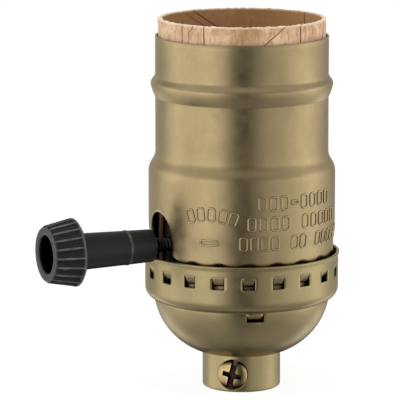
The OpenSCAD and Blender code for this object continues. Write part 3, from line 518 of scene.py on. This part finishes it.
def stamped_outline(angle, z, length, height, lean=0.0, bead=0.19):
    """Raised bead along a bar's outline, lying on the shell's skirt."""
    turn = math.radians(lean)
    path = []
    for u, v in bar_path(length, height):
        along = u * math.cos(turn) - v * math.sin(turn)
        up = u * math.sin(turn) + v * math.cos(turn)
        path.append((angle + math.degrees(along / SKIRT_R), z + up))
    sides = 6
    verts, faces = [], []
    count = len(path)
    for i, (a, h) in enumerate(path):
        a_next, h_next = path[(i + 1) % count]
        a_last, h_last = path[i - 1]
        along = math.radians(a_next - a_last) * SKIRT_R
        up = h_next - h_last
        size = max(1e-6, math.hypot(along, up))
        across = (-up / size, along / size)
        for k in range(sides):
            t = 2 * math.pi * k / sides
            side = bead * math.cos(t)
            out = bead * math.sin(t)
            angle_k = a + math.degrees(across[0] * side / SKIRT_R)
            z_k = h + across[1] * side
            verts.append(polar(shell_surface(angle_k, z_k) + out + 0.01, angle_k, z_k))
    for i in range(count):
        n = (i + 1) % count
        for k in range(sides):
            m = (k + 1) % sides
            faces.append((i * sides + k, n * sides + k, n * sides + m, i * sides + m))
    return verts, faces


def build_marks():
    """Plain stamped bars where the real shell has words."""
    left = FACING - 20.7
    parts = [stamped_outline(left, 31.3, 3.6, 0.9)]
    arc_r, arc_top = 14.0, 36.8
    for i in range(5):
        t = (i - 1.8) * 9.0
        at = left + math.degrees(arc_r * math.sin(math.radians(t)) / SKIRT_R)
        parts.append(stamped_outline(at, arc_top - arc_r * (1 - math.cos(math.radians(t))), 1.45, 2.5, -t))
    rows = ((38.9, 12, 7.1, "bbb-bbbb"), (35.0, 5.5, 7.2, "bbbb bbbbb"), (31.2, 0.5, 6.6, "bbbb bb bbbbb"))
    for z, start, pitch, plan in rows:
        for i, kind in enumerate(plan):
            at = FACING + start + pitch * i
            if kind == "b":
                parts.append(stamped_outline(at, z, 1.4, 2.5))
            elif kind == "-":
                parts.append(stamped_outline(at, z, 1.6, 0.7))
    verts, faces = join_parts(parts)
    return make_object("shell_stamped_bars", verts, faces, SATIN_BRASS, "shell_cover")


# Fibre liner


def liner_surface(angle, z):
    a = math.radians(angle)
    return LINER_HI.y - 0.02 + 0.02 * math.sin(2 * a + 0.6) + 0.012 * math.sin(7 * a + z * 0.3)


def build_liner():
    heights = (spread(LINER_LO.z, SHAFT_Z + 10, 0.5) + spread(SHAFT_Z + 10, LINER_HI.z - 5, 2.0)
               + spread(LINER_HI.z - 5, LINER_HI.z, 0.5) + [LINER_HI.z])
    cols = 300
    noise = random.Random(11)
    frayed = [noise.uniform(-0.2, 0) for _ in range(cols)]

    def point(i, j):
        angle = 360 * j / cols
        z = heights[i]
        if i == len(heights) - 1:
            z += frayed[j]
        return polar(liner_surface(angle, z), angle, z)

    verts, faces = grid(len(heights), cols, point)
    verts, faces = cut_slot(verts, faces, liner_surface, LINER_SLOT_MARGIN, 0)
    liner = make_object("insulating_liner_tube", verts, faces, PAPER, "shell_cover",
                        replaces=["insulating_liner"])
    add_sheet_wall(liner, 0.75)
    soften_edges(liner, 0.12, 2, 60)
    return liner


def seam_strip(points, width, radius, out):
    """Thin dark strip of painted shadow along a paper seam; points are (angle, height)."""
    verts, faces = [], []
    steps = 14
    for i in range(steps + 1):
        t = i / steps * (len(points) - 1)
        k = min(int(t), len(points) - 2)
        a0, z0 = points[k]
        a1, z1 = points[k + 1]
        f = t - k
        a = a0 + (a1 - a0) * f
        z = z0 + (z1 - z0) * f
        along = math.radians(a1 - a0) * radius
        size = math.hypot(along, z1 - z0)
        taper = width * (0.55 + 0.45 * math.sin(math.pi * min(1, (i + 1) / steps))) / 2
        da = math.degrees(-(z1 - z0) / size * taper / radius)
        dz = along / size * taper
        for side, rise in ((-1, 0), (0, out), (1, 0)):
            verts.append(polar(radius + rise, a + da * side, z + dz * side))
    for i in range(steps):
        for k in range(2):
            faces.append((i * 3 + k, i * 3 + k + 1, i * 3 + k + 4, i * 3 + k + 3))
    return verts, faces


def build_seams():
    """Painted shadow along the joints and creases of the wound paper, outside and inside the liner's top."""
    top = LINER_HI.z - 0.12
    low = SHELL_HI.z - 1.0
    outer = LINER_HI.y + 0.03
    inner = LINER_HI.y - 0.78
    outside = [
        ([(-45.2, top), (-44.9, low)], 0.16), ([(-27.2, top), (-26.8, low)], 0.2),
        ([(42.4, top), (42.4, low)], 0.22), ([(9.7, low), (29.7, top)], 0.17),
        ([(-35.5, top), (-39.0, top - 1.4), (-40.0, low)], 0.1),
        ([(72.0, top), (70.5, low)], 0.12), ([(24.0, low), (30.0, low + 1.2)], 0.09),
        ([(118.0, low), (140.0, top)], 0.16), ([(165.0, top), (165.5, low)], 0.18),
        ([(212.0, top), (211.5, low)], 0.16), ([(250.0, low), (271.0, top)], 0.15),
    ]
    inside = [
        ([(-141.8, top), (-163.9, top - 3.8), (-190.0, top - 9)], 0.24),
        ([(127.3, top), (127.0, top - 9)], 0.24),
        ([(-134.9, top - 0.5), (-154.5, top - 3.6), (-175.0, top - 7)], 0.14), ([(60.0, top), (46.0, top - 9)], 0.2),
        ([(-70.0, top), (-70.0, top - 9)], 0.18),
    ]
    parts = [seam_strip([(FACING + a, z) for a, z in path], w, outer, 0.02) for path, w in outside]
    parts += [seam_strip([(FACING + a, z) for a, z in path], w, inner, -0.02) for path, w in inside]
    verts, faces = join_parts(parts)
    seams = make_object("liner_seams", verts, faces, SEAM_SHADE, "shell_cover")
    wall = seams.modifiers.new("wall", "SOLIDIFY")
    wall.thickness = 0.03 * MM
    wall.offset = 0
    return seams


# Cap


def cap_profile():
    """Outer face of the cap from the neck outwards and up, as (radius, height)."""
    foot_r = HUB_R + FOOT_FLAT
    top_r = CAP_R - SHOULDER_OUT
    top_z = HUB_H + BOWL_H
    centre_z = (((top_r - BOWL_OFF) ** 2 - (foot_r - BOWL_OFF) ** 2 + top_z ** 2 - HUB_H ** 2)
                / (2 * (top_z - HUB_H)))
    arc_r = math.hypot(top_r - BOWL_OFF, top_z - centre_z)
    points = [(HUB_R - 1.4, HUB_H), (HUB_R - 0.3, HUB_H)]
    neck_end = HUB_R + 0.35
    points.append((neck_end, HUB_H + 0.02))
    a0 = math.asin((HUB_H - centre_z) / arc_r)
    a1 = math.asin((top_z - centre_z) / arc_r)
    for i in range(31):
        t = a0 + (a1 - a0) * i / 30
        points.append((BOWL_OFF + arc_r * math.cos(t), centre_z + arc_r * math.sin(t)))
    shoulder_c = CAP_R - SHOULDER_R
    lean = math.acos((top_r - shoulder_c) / SHOULDER_R)
    shoulder_z = top_z + SHOULDER_RISE + SHOULDER_R * math.sin(lean)
    for i in range(15):
        t = -lean * (1 - i / 14)
        points.append((shoulder_c + SHOULDER_R * math.cos(t), shoulder_z + SHOULDER_R * math.sin(t)))
    return points, shoulder_z


def build_cap():
    low, shoulder_z = cap_profile()
    window_top = RIM_Z - WINDOW_DROP
    window_low = window_top - WINDOW_H
    heights = (spread(shoulder_z, window_low, 0.5)[1:] + spread(window_low, window_top, 0.29)
               + spread(window_top, RIM_Z - LIP_H, 0.4)
               + spread(RIM_Z - LIP_H, RIM_Z, 0.2) + [RIM_Z])
    profile = low + [(CAP_R + LIP_FLARE * ease((z - RIM_Z + LIP_H) / LIP_H), z) for z in heights]
    half = math.degrees(WINDOW_W / 2 / CAP_R)
    pitch = 360 / WINDOW_N
    in_window = [half * (i / 4 - 1) for i in range(9)]
    between = [half + (pitch - 2 * half) * i / 6 for i in range(1, 6)]
    offsets = in_window + between
    per_pitch = len(offsets)
    cols = per_pitch * WINDOW_N
    eps = 1e-4

    def angle_of(j):
        return WINDOW_ANGLE + pitch * (j // per_pitch) + offsets[j % per_pitch]

    def point(i, j):
        r, z = profile[i]
        a = math.radians(angle_of(j))
        sway = 0.01 * math.sin(4 * a + z * 0.3)
        return polar(r + (sway if r > HUB_R + 1 else 0), angle_of(j), z)

    def in_bowl_window(i, j):
        z = (profile[i][1] + profile[i + 1][1]) / 2
        mid = (angle_of(j) + angle_of((j + 1) % cols)) / 2
        off = min(abs((mid - BOWL_WINDOW_ANGLE - s + 180) % 360 - 180) for s in (0, 180))
        wide = math.radians(off) * profile[i][0] < BOWL_WINDOW_W / 2
        return wide and bowl_low < z < bowl_top

    bowl_top = HUB_H + BOWL_H - 0.1
    bowl_low = bowl_top - BOWL_WINDOW_H

    def keep(i, j):
        z0, z1 = profile[i][1], profile[i + 1][1]
        if z0 > window_low - eps and z1 < window_top + eps and profile[i][0] > CAP_R - 0.1:
            if j % per_pitch < 8:
                return False
        return not in_bowl_window(i, j)

    verts, faces = grid(len(profile), cols, point, keep)
    cap = make_object("cap_sheet", verts, faces, CAP_BRASS, "socket", replaces=["cap"])
    add_sheet_wall(cap, CAP_WALL)
    soften_edges(cap, 0.04, 1, 60)
    parts = [collar_tab(WINDOW_ANGLE + pitch * k, half, window_top, window_low) for k in range(WINDOW_N)]
    verts, faces = join_parts(parts)
    tabs = make_object("cap_collar_tabs", verts, faces, TAB_BRASS, "socket")
    return add_sheet_wall(tabs, 0.2)


def collar_tab(angle, half, top, low):
    """Tab lanced out of the collar, bent smoothly inwards towards its free lower end."""
    rows, cols = 9, 9
    lean = 0.78

    def point(i, j):
        t = i / (rows - 1)
        z = top + 0.1 + (low + 0.7 - top - 0.1) * t
        dip = 0.01 + lean * t ** 1.4 * (1 - 0.12 * (2 * j / (cols - 1) - 1) ** 2)
        inset = 0.05 if i else 0
        return polar(CAP_R - dip, angle + half * (2 * j / (cols - 1) - 1) * (1 - inset), z)

    verts, faces = grid(rows, cols, point, closed=False)
    return verts, [tuple(reversed(f)) for f in faces]


def build_bowl_tabs():
    """Tabs bent inwards out of the bowl's two windows."""
    parts = []
    top = HUB_H + BOWL_H - 0.1
    for turn in (0, 180):
        def point(i, j):
            t = i / 5
            z = top + 0.15 - (BOWL_WINDOW_H * 0.8 + 0.05) * t
            r = CAP_R - SHOULDER_OUT - 0.12 - 0.9 * t ** 1.3 - 0.25 * t
            half = math.degrees((BOWL_WINDOW_W / 2 - 0.12) / r)
            return polar(r, BOWL_WINDOW_ANGLE + turn + half * (j / 3 - 1), z)

        parts.append(grid(6, 7, point, closed=False))
    verts, faces = join_parts(parts)
    tabs = make_object("cap_bowl_tabs", verts, faces, TAB_BRASS, "socket")
    wall = tabs.modifiers.new("wall", "SOLIDIFY")
    wall.thickness = 0.35 * MM
    wall.offset = 0
    return tabs


# Neck and set screw


def helix_wave(pitch, depth, lo, hi, sharp=1.0):
    """Radius change of a right-hand thread between two heights, fading out at its ends."""
    def wave(z, a):
        phase = (z / pitch - a / (2 * math.pi)) % 1.0
        ridge = 1 - abs(2 * phase - 1)
        fade = min(1, max(0, (z - lo) / pitch)) * min(1, max(0, (hi - z) / pitch))
        return depth * min(1, ridge * sharp) * fade
    return wave


def build_hub():
    bore_r = 4.65
    pitch, depth = 0.941, 0.5
    waist_r = HUB_R - 1.4
    edge = 0.5
    outer = [(HUB_R - edge + edge * math.sin(t), edge - edge * math.cos(t))
             for t in (math.pi / 2 * i / 8 for i in range(9))]
    outer += [(HUB_R, z) for z in spread(edge, HUB_H - 0.15, 0.8)[1:]]
    outer += [(HUB_R, HUB_H - 0.12), (HUB_R - 0.12, HUB_H), (waist_r, HUB_H), (waist_r, HUB_H + CAP_WALL),
              (waist_r + 1, HUB_H + CAP_WALL), (waist_r + 0.95, HUB_TOP), (bore_r + 0.5, HUB_TOP)]
    bore = [(bore_r, z) for z in reversed(spread(0.35, HUB_TOP - 0.2, pitch / 10))]
    profile = outer + bore + [(bore_r + 0.45, 0.0)]
    thread = helix_wave(pitch, depth, -1.0, HUB_TOP + 1.0, 1.25)

    def wave(r, z, a):
        return (r + thread(z, a), z) if abs(r - bore_r) < 0.01 else (r, z)

    cols = 128
    rows = len(profile)

    def point(i, j):
        r, z = profile[i]
        a = 2 * math.pi * j / cols
        r, z = wave(r, z, a)
        return Vector((r * math.cos(a), r * math.sin(a), z))

    verts, faces = grid(rows, cols, point)
    faces += [((rows - 1) * cols + j, (rows - 1) * cols + (j + 1) % cols, (j + 1) % cols, j) for j in range(cols)]
    hub = make_object("cap_hub_turned", verts, faces, CAP_BRASS, "socket", replaces=["cap_hub"])
    hole = turned([(0, 0), (1.78, 0), (1.78, 6.92), (3.05, 6.92), (3.05, 12), (0, 12)], 48, SCREW_PLACE)
    carve(hub, hole)
    return hub


def carve(piece, cutter):
    """Cuts a closed shape out of a piece for good."""
    verts, faces = cutter
    mesh = bpy.data.meshes.new("cutter")
    mesh.from_pydata([tuple(Vector(v) * MM) for v in verts], [], faces)
    work = bmesh.new()
    work.from_mesh(mesh)
    bmesh.ops.remove_doubles(work, verts=work.verts, dist=1e-7)
    bmesh.ops.recalc_face_normals(work, faces=work.faces)
    work.to_mesh(mesh)
    work.free()
    tool = bpy.data.objects.new("cutter", mesh)
    bpy.context.scene.collection.objects.link(tool)
    cut = piece.modifiers.new("cut", "BOOLEAN")
    cut.object = tool
    cut.solver = "EXACT"
    bpy.context.view_layer.update()
    result = bpy.data.meshes.new_from_object(piece.evaluated_get(bpy.context.evaluated_depsgraph_get()))
    piece.modifiers.remove(cut)
    piece.data = result
    bpy.data.objects.remove(tool)
    for polygon in result.polygons:
        polygon.use_smooth = True
    result.set_sharp_from_angle(angle=math.radians(35))
    return piece


SCREW_ANGLE = 231
SCREW_Z = 3.5
SCREW_LEAN = -12.5
SCREW_PLACE = (Matrix.Rotation(math.radians(SCREW_ANGLE), 4, "Z") @ Matrix.Translation((0, 0, SCREW_Z))
               @ Matrix.Rotation(math.radians(90), 4, "Y"))


def box_part(lo, hi, place=None):
    """Closed box between two corners, carried by a matrix."""
    verts = [Vector((x, y, z)) for x in (lo[0], hi[0]) for y in (lo[1], hi[1]) for z in (lo[2], hi[2])]
    if place:
        verts = [place @ v for v in verts]
    return verts, [(0, 1, 3, 2), (4, 6, 7, 5), (0, 4, 5, 1), (2, 3, 7, 6), (0, 2, 6, 4), (1, 5, 7, 3)]


def cross_outline(reach, half, fillet):
    """Outline of a cross with rounded inner corners."""
    points = []
    for quarter in range(4):
        turn = Matrix.Rotation(math.radians(90 * quarter), 2)
        corner = [(reach, half)]
        for i in range(6):
            t = math.radians(-90 - 90 * i / 5)
            corner.append((half + fillet + fillet * math.cos(t), half + fillet + fillet * math.sin(t)))
        corner.append((half, reach))
        points += [turn @ Vector(p) for p in corner]
    return points


def prism(outline, lo, hi, place):
    """Closed prism over an outline, carried by a matrix."""
    n = len(outline)
    verts = [place @ Vector((p[0], p[1], z)) for z in (lo, hi) for p in outline]
    faces = [(i, (i + 1) % n, n + (i + 1) % n, n + i) for i in range(n)]
    return verts, faces + [tuple(reversed(range(n))), tuple(range(n, 2 * n))]


def build_set_screw():
    seat = 6.9
    head_r, head_h = 2.9, 1.3
    thread = helix_wave(0.794, 0.28, 4.9, seat, 1.3)
    shank_r = 1.73 - 0.28
    shank = [(0, 4.75), (shank_r - 0.3, 4.75)] + [(shank_r, z) for z in spread(4.95, seat - 0.05, 0.09)]
    dome = [(head_r, seat + 0.02), (head_r + 0.0, seat + 0.35)]
    dome += [(head_r * math.cos(t), seat + 0.45 + (head_h - 0.45) * math.sin(t))
             for t in (math.pi / 2 * i / 12 for i in range(12))] + [(0, seat + head_h)]
    profile = shank + [(shank_r, seat)] + dome

    def wave(r, z, a):
        return (r + thread(z, a), z) if abs(r - shank_r) < 0.01 else (r, z)

    verts, faces = turned(profile, 64, SCREW_PLACE, wave)
    screw = make_object("set_screw_turned", verts, faces, SCREW_BRASS, "set_screw",
                        replaces=["set_screw"])
    face = seat + head_h
    slot_turn = SCREW_PLACE @ Matrix.Rotation(math.radians(SCREW_LEAN), 4, "Z")
    carve(screw, box_part((-4, -0.62, face - 0.85), (4, 0.62, face + 1), slot_turn))
    carve(screw, prism(cross_outline(1.9, 0.5, 0.45), face - 1.2, face + 1, slot_turn))
    soften_edges(screw, 0.05, 2, 45)
    return screw


# Knob and shaft

TO_KNOB = Matrix.Rotation(math.radians(-90), 4, "Y")


def build_knob():
    length = KNOB_HI.x - KNOB_LO.x
    head_l, head_r1, head_r2 = 5.9, 6.6, 5.45
    stem_r1, stem_r2 = 3.15, 3.55
    ring_s, ring_out = 5.4, 0.12
    head_s = length - head_l
    ribs, groove_depth, rim, flange = 20, 0.5, 0.22, 0.4
    recess_r, recess_depth = 3.7, 4.0
    bore_r, bore_s = SHAFT_R, 14.0

    def stem_r(s):
        base = stem_r1 + (stem_r2 - stem_r1) * s / head_s
        return base + ring_out * math.exp(-((s - ring_s) / 0.3) ** 2)

    profile = [(0.0, bore_s), (bore_r, bore_s), (bore_r, 0.25), (bore_r + 0.2, 0.0), (stem_r1 - 0.45, 0.0)]
    profile += [(stem_r1 - 0.35 + 0.35 * math.sin(t), 0.35 - 0.35 * math.cos(t))
                for t in (math.pi / 2 * i / 5 for i in range(1, 5))]
    profile += [(stem_r(s), s) for s in spread(0.4, 4.2, 0.5) + spread(4.2, 6.6, 0.12) + spread(6.6, head_s - 1.1, 0.6)]
    profile += [(stem_r2 + 0.02, head_s - 1.0), (stem_r2 + 0.12, head_s - 0.75), (stem_r2 + 0.45, head_s - 0.6),
                (head_r1 - 1.6, head_s - 0.58), (head_r1 - 0.9, head_s - 0.5), (head_r1 - 0.3, head_s - 0.12),
                (head_r1 - 0.05, head_s + 0.05)]
    profile += [(head_r1 + (head_r2 - head_r1) * (s - head_s) / head_l, s)
                for s in spread(head_s + 0.15, head_s + 0.75, 0.12) + spread(head_s + 0.95, length - 0.75, 0.3)
                + spread(length - 0.6, length - 0.45, 0.12)]
    profile += [(head_r2 - 0.02, length - 0.35), (head_r2 - 0.25, length - 0.1), (head_r2 - 0.6, length)]
    profile += [(recess_r + 0.35, length), (recess_r + 0.1, length - 0.1), (recess_r, length - 0.35)]
    profile += [(recess_r - 0.1, s) for s in reversed(spread(length - recess_depth + 0.4, length - 0.6, 0.5))]
    profile += [(recess_r - 0.2, length - recess_depth + 0.1), (recess_r - 0.5, length - recess_depth),
                (1.3, length - recess_depth), (1.1, length - recess_depth + 0.15), (0.0, length - recess_depth + 0.2)]

    def wave(r, s, a):
        if s < head_s or r < head_r2 - 0.3:
            return r, s
        across = abs(2 * ((ribs * a / (2 * math.pi)) % 1.0) - 1) / (0.84 - 0.1 * (s - head_s) / head_l)
        groove = math.sqrt(1 - across ** 2) if across < 1 else 0
        back = ease((s - head_s - flange + 0.1) / 0.25)
        front = ease((length - rim - s) / 0.25)
        return r - groove_depth * groove * back * front, s

    cols = ribs * 20
    place = Matrix.Translation((KNOB_HI.x, 0, SHAFT_Z)) @ TO_KNOB
    verts, faces = turned(profile, cols, place, wave)
    knob = make_object("knob_moulding", verts, faces, KNOB_PLASTIC, "knob_rotor",
                       replaces=["knob"])
    return knob


def build_shaft():
    """Threaded rod with its groove and rear journal."""
    pitch = 0.7056
    depth = 0.3
    out = -SHAFT_LO.x
    back = -SHAFT_HI.x
    journal_x = -1.0
    front_x = 11.2
    core = SHAFT_R - depth
    profile = [(0, back), (0.9, back), (1.0, back + 0.12), (1.0, journal_x), (SHAFT_R - 0.1, journal_x),
               (SHAFT_R, journal_x + 0.1), (SHAFT_R, 10.0), (1.0, 10.1), (1.0, 10.6), (SHAFT_R, 10.6),
               (SHAFT_R, front_x - 0.1)]
    profile += [(core, s) for s in spread(front_x, out - 0.2, pitch / 9)]
    profile += [(core, out - 0.15), (core - 0.3, out), (0, out)]
    thread = helix_wave(pitch, depth, front_x, out, 1.3)

    def wave(r, s, a):
        return (r + thread(s, a), s) if abs(r - core) < 0.001 else (r, s)

    place = Matrix.Translation((0, 0, SHAFT_Z)) @ TO_KNOB
    verts, faces = turned(profile, 32, place, wave)
    return make_object("knob_shaft_threaded", verts, faces, SHAFT_STEEL, "knob_rotor",
                       replaces=["knob_shaft"])


# Lamp screw shell


def build_screw_shell():
    """Rounded lamp thread rolled in thin sheet, with a plain foot, a floor and a plain mouth."""
    minor_r, depth, pitch = 12.5, 0.8, 3.629
    floor_r = 9.0
    z0 = LAMP_LO.z
    thread_z = z0 + 2.1
    top = LAMP_HI.z
    mouth_r, mouth_z = LAMP_HI.x - 0.01, top - 2.1
    profile = [(floor_r, z0 + 0.01), (floor_r + 1.2, z0 + 0.01), (floor_r + 2.4, z0 + 0.01), (12.5, z0 + 0.02),
               (12.68, z0 + 0.1), (12.75, z0 + 0.3)]
    profile += [(12.75, z) for z in spread(z0 + 0.5, thread_z - 0.3, 0.35)]
    profile += [(12.75, z) for z in spread(thread_z - 0.3, top, pitch / 22)] + [(12.75, top)]

    def wave(r, z, a):
        if z < thread_z - 0.4:
            return r, z
        rise = min(1, (z - thread_z + 0.4) / 1.2)
        level = 0.5 - 0.5 * math.cos(2 * math.pi * (z / pitch - a / (2 * math.pi)))
        rolled = minor_r + 0.3 + depth * level * rise
        return rolled + (mouth_r - rolled) * ease((z - mouth_z + 0.35) / 0.35), z

    cols = 120
    count = len(profile)

    def point(i, j):
        r, z = profile[i]
        a = 2 * math.pi * j / cols
        r, z = wave(r, z, a)
        return Vector((r * math.cos(a), r * math.sin(a), z))

    verts, faces = grid(count, cols, point)
    shell = make_object("screw_shell_rolled", verts, faces, BRIGHT_BRASS, "socket",
                        replaces=["screw_shell"])
    add_sheet_wall(shell, 0.29)
    return shell


def dress_solids():
    """Finishes of the pieces whose solids are shown as they are."""
    finishes = {
        "cap_liner": BROWN_FIBRE, "switch_base": PHENOLIC, "switch_body": PHENOLIC, "body_rivets": PLATED_STEEL,
        "shell_rivets": COPPERED, "centre_contact": COPPERED, "centre_rivet": COPPERED,
        "load_contact": COPPERED, "hot_terminal_plate": COPPERED, "neutral_terminal_plate": PLATED_STEEL,
        "hot_terminal_screw": BRIGHT_BRASS, "neutral_terminal_screw": PLATED_STEEL,
        "detent_spring": SPRING_STEEL, "rotor_cam": BROWN_FIBRE, "rotor_contact": COPPERED,
        "retaining_clip": SPRING_STEEL,
    }
    for name, material in finishes.items():
        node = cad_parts[name]
        node.data.materials.clear()
        node.data.materials.append(material)


# Studio


def stage_object(name, verts, faces, material):
    mesh = bpy.data.meshes.new(name)
    mesh.from_pydata([tuple(Vector(v) * MM) for v in verts], [], faces)
    mesh.materials.append(material)
    item = bpy.data.objects.new(name, mesh)
    bpy.context.scene.collection.objects.link(item)
    return item


def build_floor():
    """Pale floor: white to the camera, with the object's soft shadow kept."""
    s = Shader("studio_floor")
    s.set(color=(0.9, 0.9, 0.9, 1), rough=0.9, specular=0.1)
    path = s.add("LightPath")
    glow = s.add("Emission", {"Color": (1, 1, 1, 1), "Strength": 1.05})
    seen = s.math("MAXIMUM", path.outputs["Is Camera Ray"], path.outputs["Is Transmission Ray"])
    share = s.math("MULTIPLY", seen, 0.88)
    blend = s.add("MixShader", {0: share, 1: s.shader.outputs[0], 2: glow.outputs[0]})
    output = s.tree.nodes["Material Output"]
    s.tree.links.new(blend.outputs[0], output.inputs["Surface"])
    size = 6000
    floor = stage_object("floor", [(-size, -size, -0.02), (size, -size, -0.02), (size, size, -0.02),
                                   (-size, size, -0.02)], [(0, 1, 2, 3)], s.material)
    floor.visible_glossy = False
    return floor


# Brightness of the light tent by direction: round it from the camera's side, and from nadir to zenith
TENT_ROUND = ((-180, 0.5), (-158, 0.5), (-128, 0.33), (-112, 0.84), (-96, 1.1), (-80, 0.86), (-64, 0.82),
              (-48, 0.98), (-32, 1.05), (-20, 0.55), (-10, 0.02), (8, 0.02), (20, 0.34), (34, 0.54), (48, 0.52),
              (64, 0.68), (80, 0.9), (96, 1.1), (112, 0.82), (128, 0.5), (150, 0.3), (180, 0.5))
TENT_HEIGHT = ((-90, 0.4), (-70, 0.42), (-45, 0.40), (-30, 0.66), (-16, 1.0), (-6, 1.0), (8, 1.12), (16, 1.1),
               (27, 0.6), (50, 0.65), (90, 0.7))
TENT_REAR_SIDES, TENT_REAR_SHADE = 0.8, 0.95
TENT_RADIUS = 3000.0


def fill_ramp(node, stops, lo, hi):
    """Sets a colour ramp to grey levels at places between two limits."""
    elements = node.color_ramp.elements
    while len(elements) > 1:
        elements.remove(elements[-1])
    for i, (place, level) in enumerate(stops):
        at = (place - lo) / (hi - lo)
        element = elements[0] if i == 0 else elements.new(at)
        element.position = at
        element.color = (level, level, level, 1)


def build_tent():
    """Light tent that only shows in reflections."""
    s = Shader("light_tent")
    position = s.add("SeparateXYZ", {0: s.coords}).outputs
    turn = math.radians(FACING)
    x = s.math("ADD", s.math("MULTIPLY", position[0], math.cos(turn)),
               s.math("MULTIPLY", position[1], math.sin(turn)))
    y = s.math("SUBTRACT", s.math("MULTIPLY", position[1], math.cos(turn)),
               s.math("MULTIPLY", position[0], math.sin(turn)))
    angle = s.math("DIVIDE", s.math("ARCTAN2", y, x), 2 * math.pi)
    around = s.add("ValToRGB", {"Fac": s.math("ADD", angle, 0.5)})
    fill_ramp(around, TENT_ROUND, -180, 180)
    lift = s.math("ARCSINE", s.math("DIVIDE", position[2], TENT_RADIUS * MM))
    height = s.add("ValToRGB", {"Fac": s.math("ADD", s.math("DIVIDE", lift, math.pi), 0.5)})
    fill_ramp(height, TENT_HEIGHT, -90, 90)
    steep = s.span(s.math("ABSOLUTE", lift), math.radians(25), math.radians(85))
    level = s.mix(steep, around.outputs["Color"], (0.7, 0.7, 0.7))
    away = s.math("ABSOLUTE", angle)
    below = s.span(lift, math.radians(-26), math.radians(-14), 1.0, 0.0)
    sides = s.math("MULTIPLY", s.span(away, 118 / 360, 138 / 360), s.span(away, 150 / 360, 162 / 360, 1.0, 0.0))
    sides = s.math("MULTIPLY", sides, s.span(lift, math.radians(-58), math.radians(-38)))
    behind = s.span(away, 145 / 360, 165 / 360)
    bright = s.math("MULTIPLY", s.math("MULTIPLY", sides, below), TENT_REAR_SIDES)
    shade = s.math("SUBTRACT", 1.0, s.math("MULTIPLY", s.math("MULTIPLY", behind, below), TENT_REAR_SHADE))
    fill = s.math("MULTIPLY", s.math("MULTIPLY", level, height.outputs["Color"]), shade)
    glow = s.add("Emission", {"Strength": s.math("ADD", fill, bright)})
    output = s.tree.nodes["Material Output"]
    s.tree.links.new(glow.outputs[0], output.inputs["Surface"])
    rows, cols = 37, 72

    def point(i, j):
        lift = math.radians(-90 + 5 * i)
        return polar(TENT_RADIUS * math.cos(lift), 360 * j / cols, TENT_RADIUS * math.sin(lift))

    verts, faces = grid(rows, cols, point)
    tent = stage_object("light_tent", verts, faces, s.material)
    for polygon in tent.data.polygons:
        polygon.use_smooth = True
    tent.visible_camera = False
    tent.visible_diffuse = False
    tent.visible_shadow = False
    tent.visible_transmission = False
    tent.visible_volume_scatter = False
    return tent


def build_light(name, azimuth, elevation, distance, size, watts):
    """Soft square lamp that points at the middle of the object and stays out of reflections."""
    lamp = bpy.data.lights.new(name, "AREA")
    lamp.size = size * MM
    lamp.energy = watts
    item = bpy.data.objects.new(name, lamp)
    bpy.context.scene.collection.objects.link(item)
    middle = Vector((0, 0, 36))
    e = math.radians(elevation)
    flat = polar(math.cos(e), azimuth, 0)
    away = Vector((flat.x, flat.y, math.sin(e)))
    item.location = (middle + away * distance) * MM
    item.rotation_mode = "QUATERNION"
    item.rotation_quaternion = (-away).to_track_quat("-Z", "Y")
    item.visible_glossy = False
    return item


def build_world():
    world = bpy.data.worlds.new("studio")
    bpy.context.scene.world = world
    world.use_nodes = True
    tree = world.node_tree
    nodes = tree.nodes
    path = nodes.new("ShaderNodeLightPath")
    seen = nodes.new("ShaderNodeMath")
    seen.operation = "MAXIMUM"
    tree.links.new(path.outputs["Is Camera Ray"], seen.inputs[0])
    glossy = nodes.new("ShaderNodeMath")
    glossy.operation = "MAXIMUM"
    tree.links.new(path.outputs["Is Glossy Ray"], glossy.inputs[0])
    tree.links.new(path.outputs["Is Transmission Ray"], glossy.inputs[1])
    tree.links.new(glossy.outputs[0], seen.inputs[1])
    back = nodes["Background"]
    back.inputs["Color"].default_value = (1, 1, 1, 1)
    strength = nodes.new("ShaderNodeMapRange")
    strength.inputs["To Min"].default_value = 0.5
    strength.inputs["To Max"].default_value = 1.0
    tree.links.new(seen.outputs[0], strength.inputs["Value"])
    tree.links.new(strength.outputs[0], back.inputs["Strength"])


def build_camera():
    camera = bpy.data.cameras.new("camera")
    camera.lens = CAMERA_LENS
    camera.sensor_width = 36
    camera.clip_start = 0.01
    camera.clip_end = 20
    item = bpy.data.objects.new("camera", camera)
    bpy.context.scene.collection.objects.link(item)
    a, e = math.radians(CAMERA_AZIMUTH), math.radians(CAMERA_ELEVATION)
    back = Vector((math.sin(a) * math.cos(e), -math.cos(a) * math.cos(e), math.sin(e)))
    item.location = (Vector(CAMERA_AIM) + back * CAMERA_DISTANCE) * MM
    item.rotation_mode = "QUATERNION"
    item.rotation_quaternion = (-back).to_track_quat("-Z", "Y")
    bpy.context.scene.camera = item


bpy.context.scene.view_settings.view_transform = "Standard"
build_camera()
build_world()
build_floor()
build_tent()
build_light("key_left", FACING - 70, 35, 800, 500, 2.4)
build_light("key_right", FACING + 65, 30, 800, 500, 2.2)
build_light("top", FACING, 80, 700, 500, 1.2)

build_shell()
build_marks()
build_liner()
build_seams()
build_cap()
build_bowl_tabs()
build_hub()
build_set_screw()
build_knob()
build_shaft()
build_screw_shell()
dress_solids()
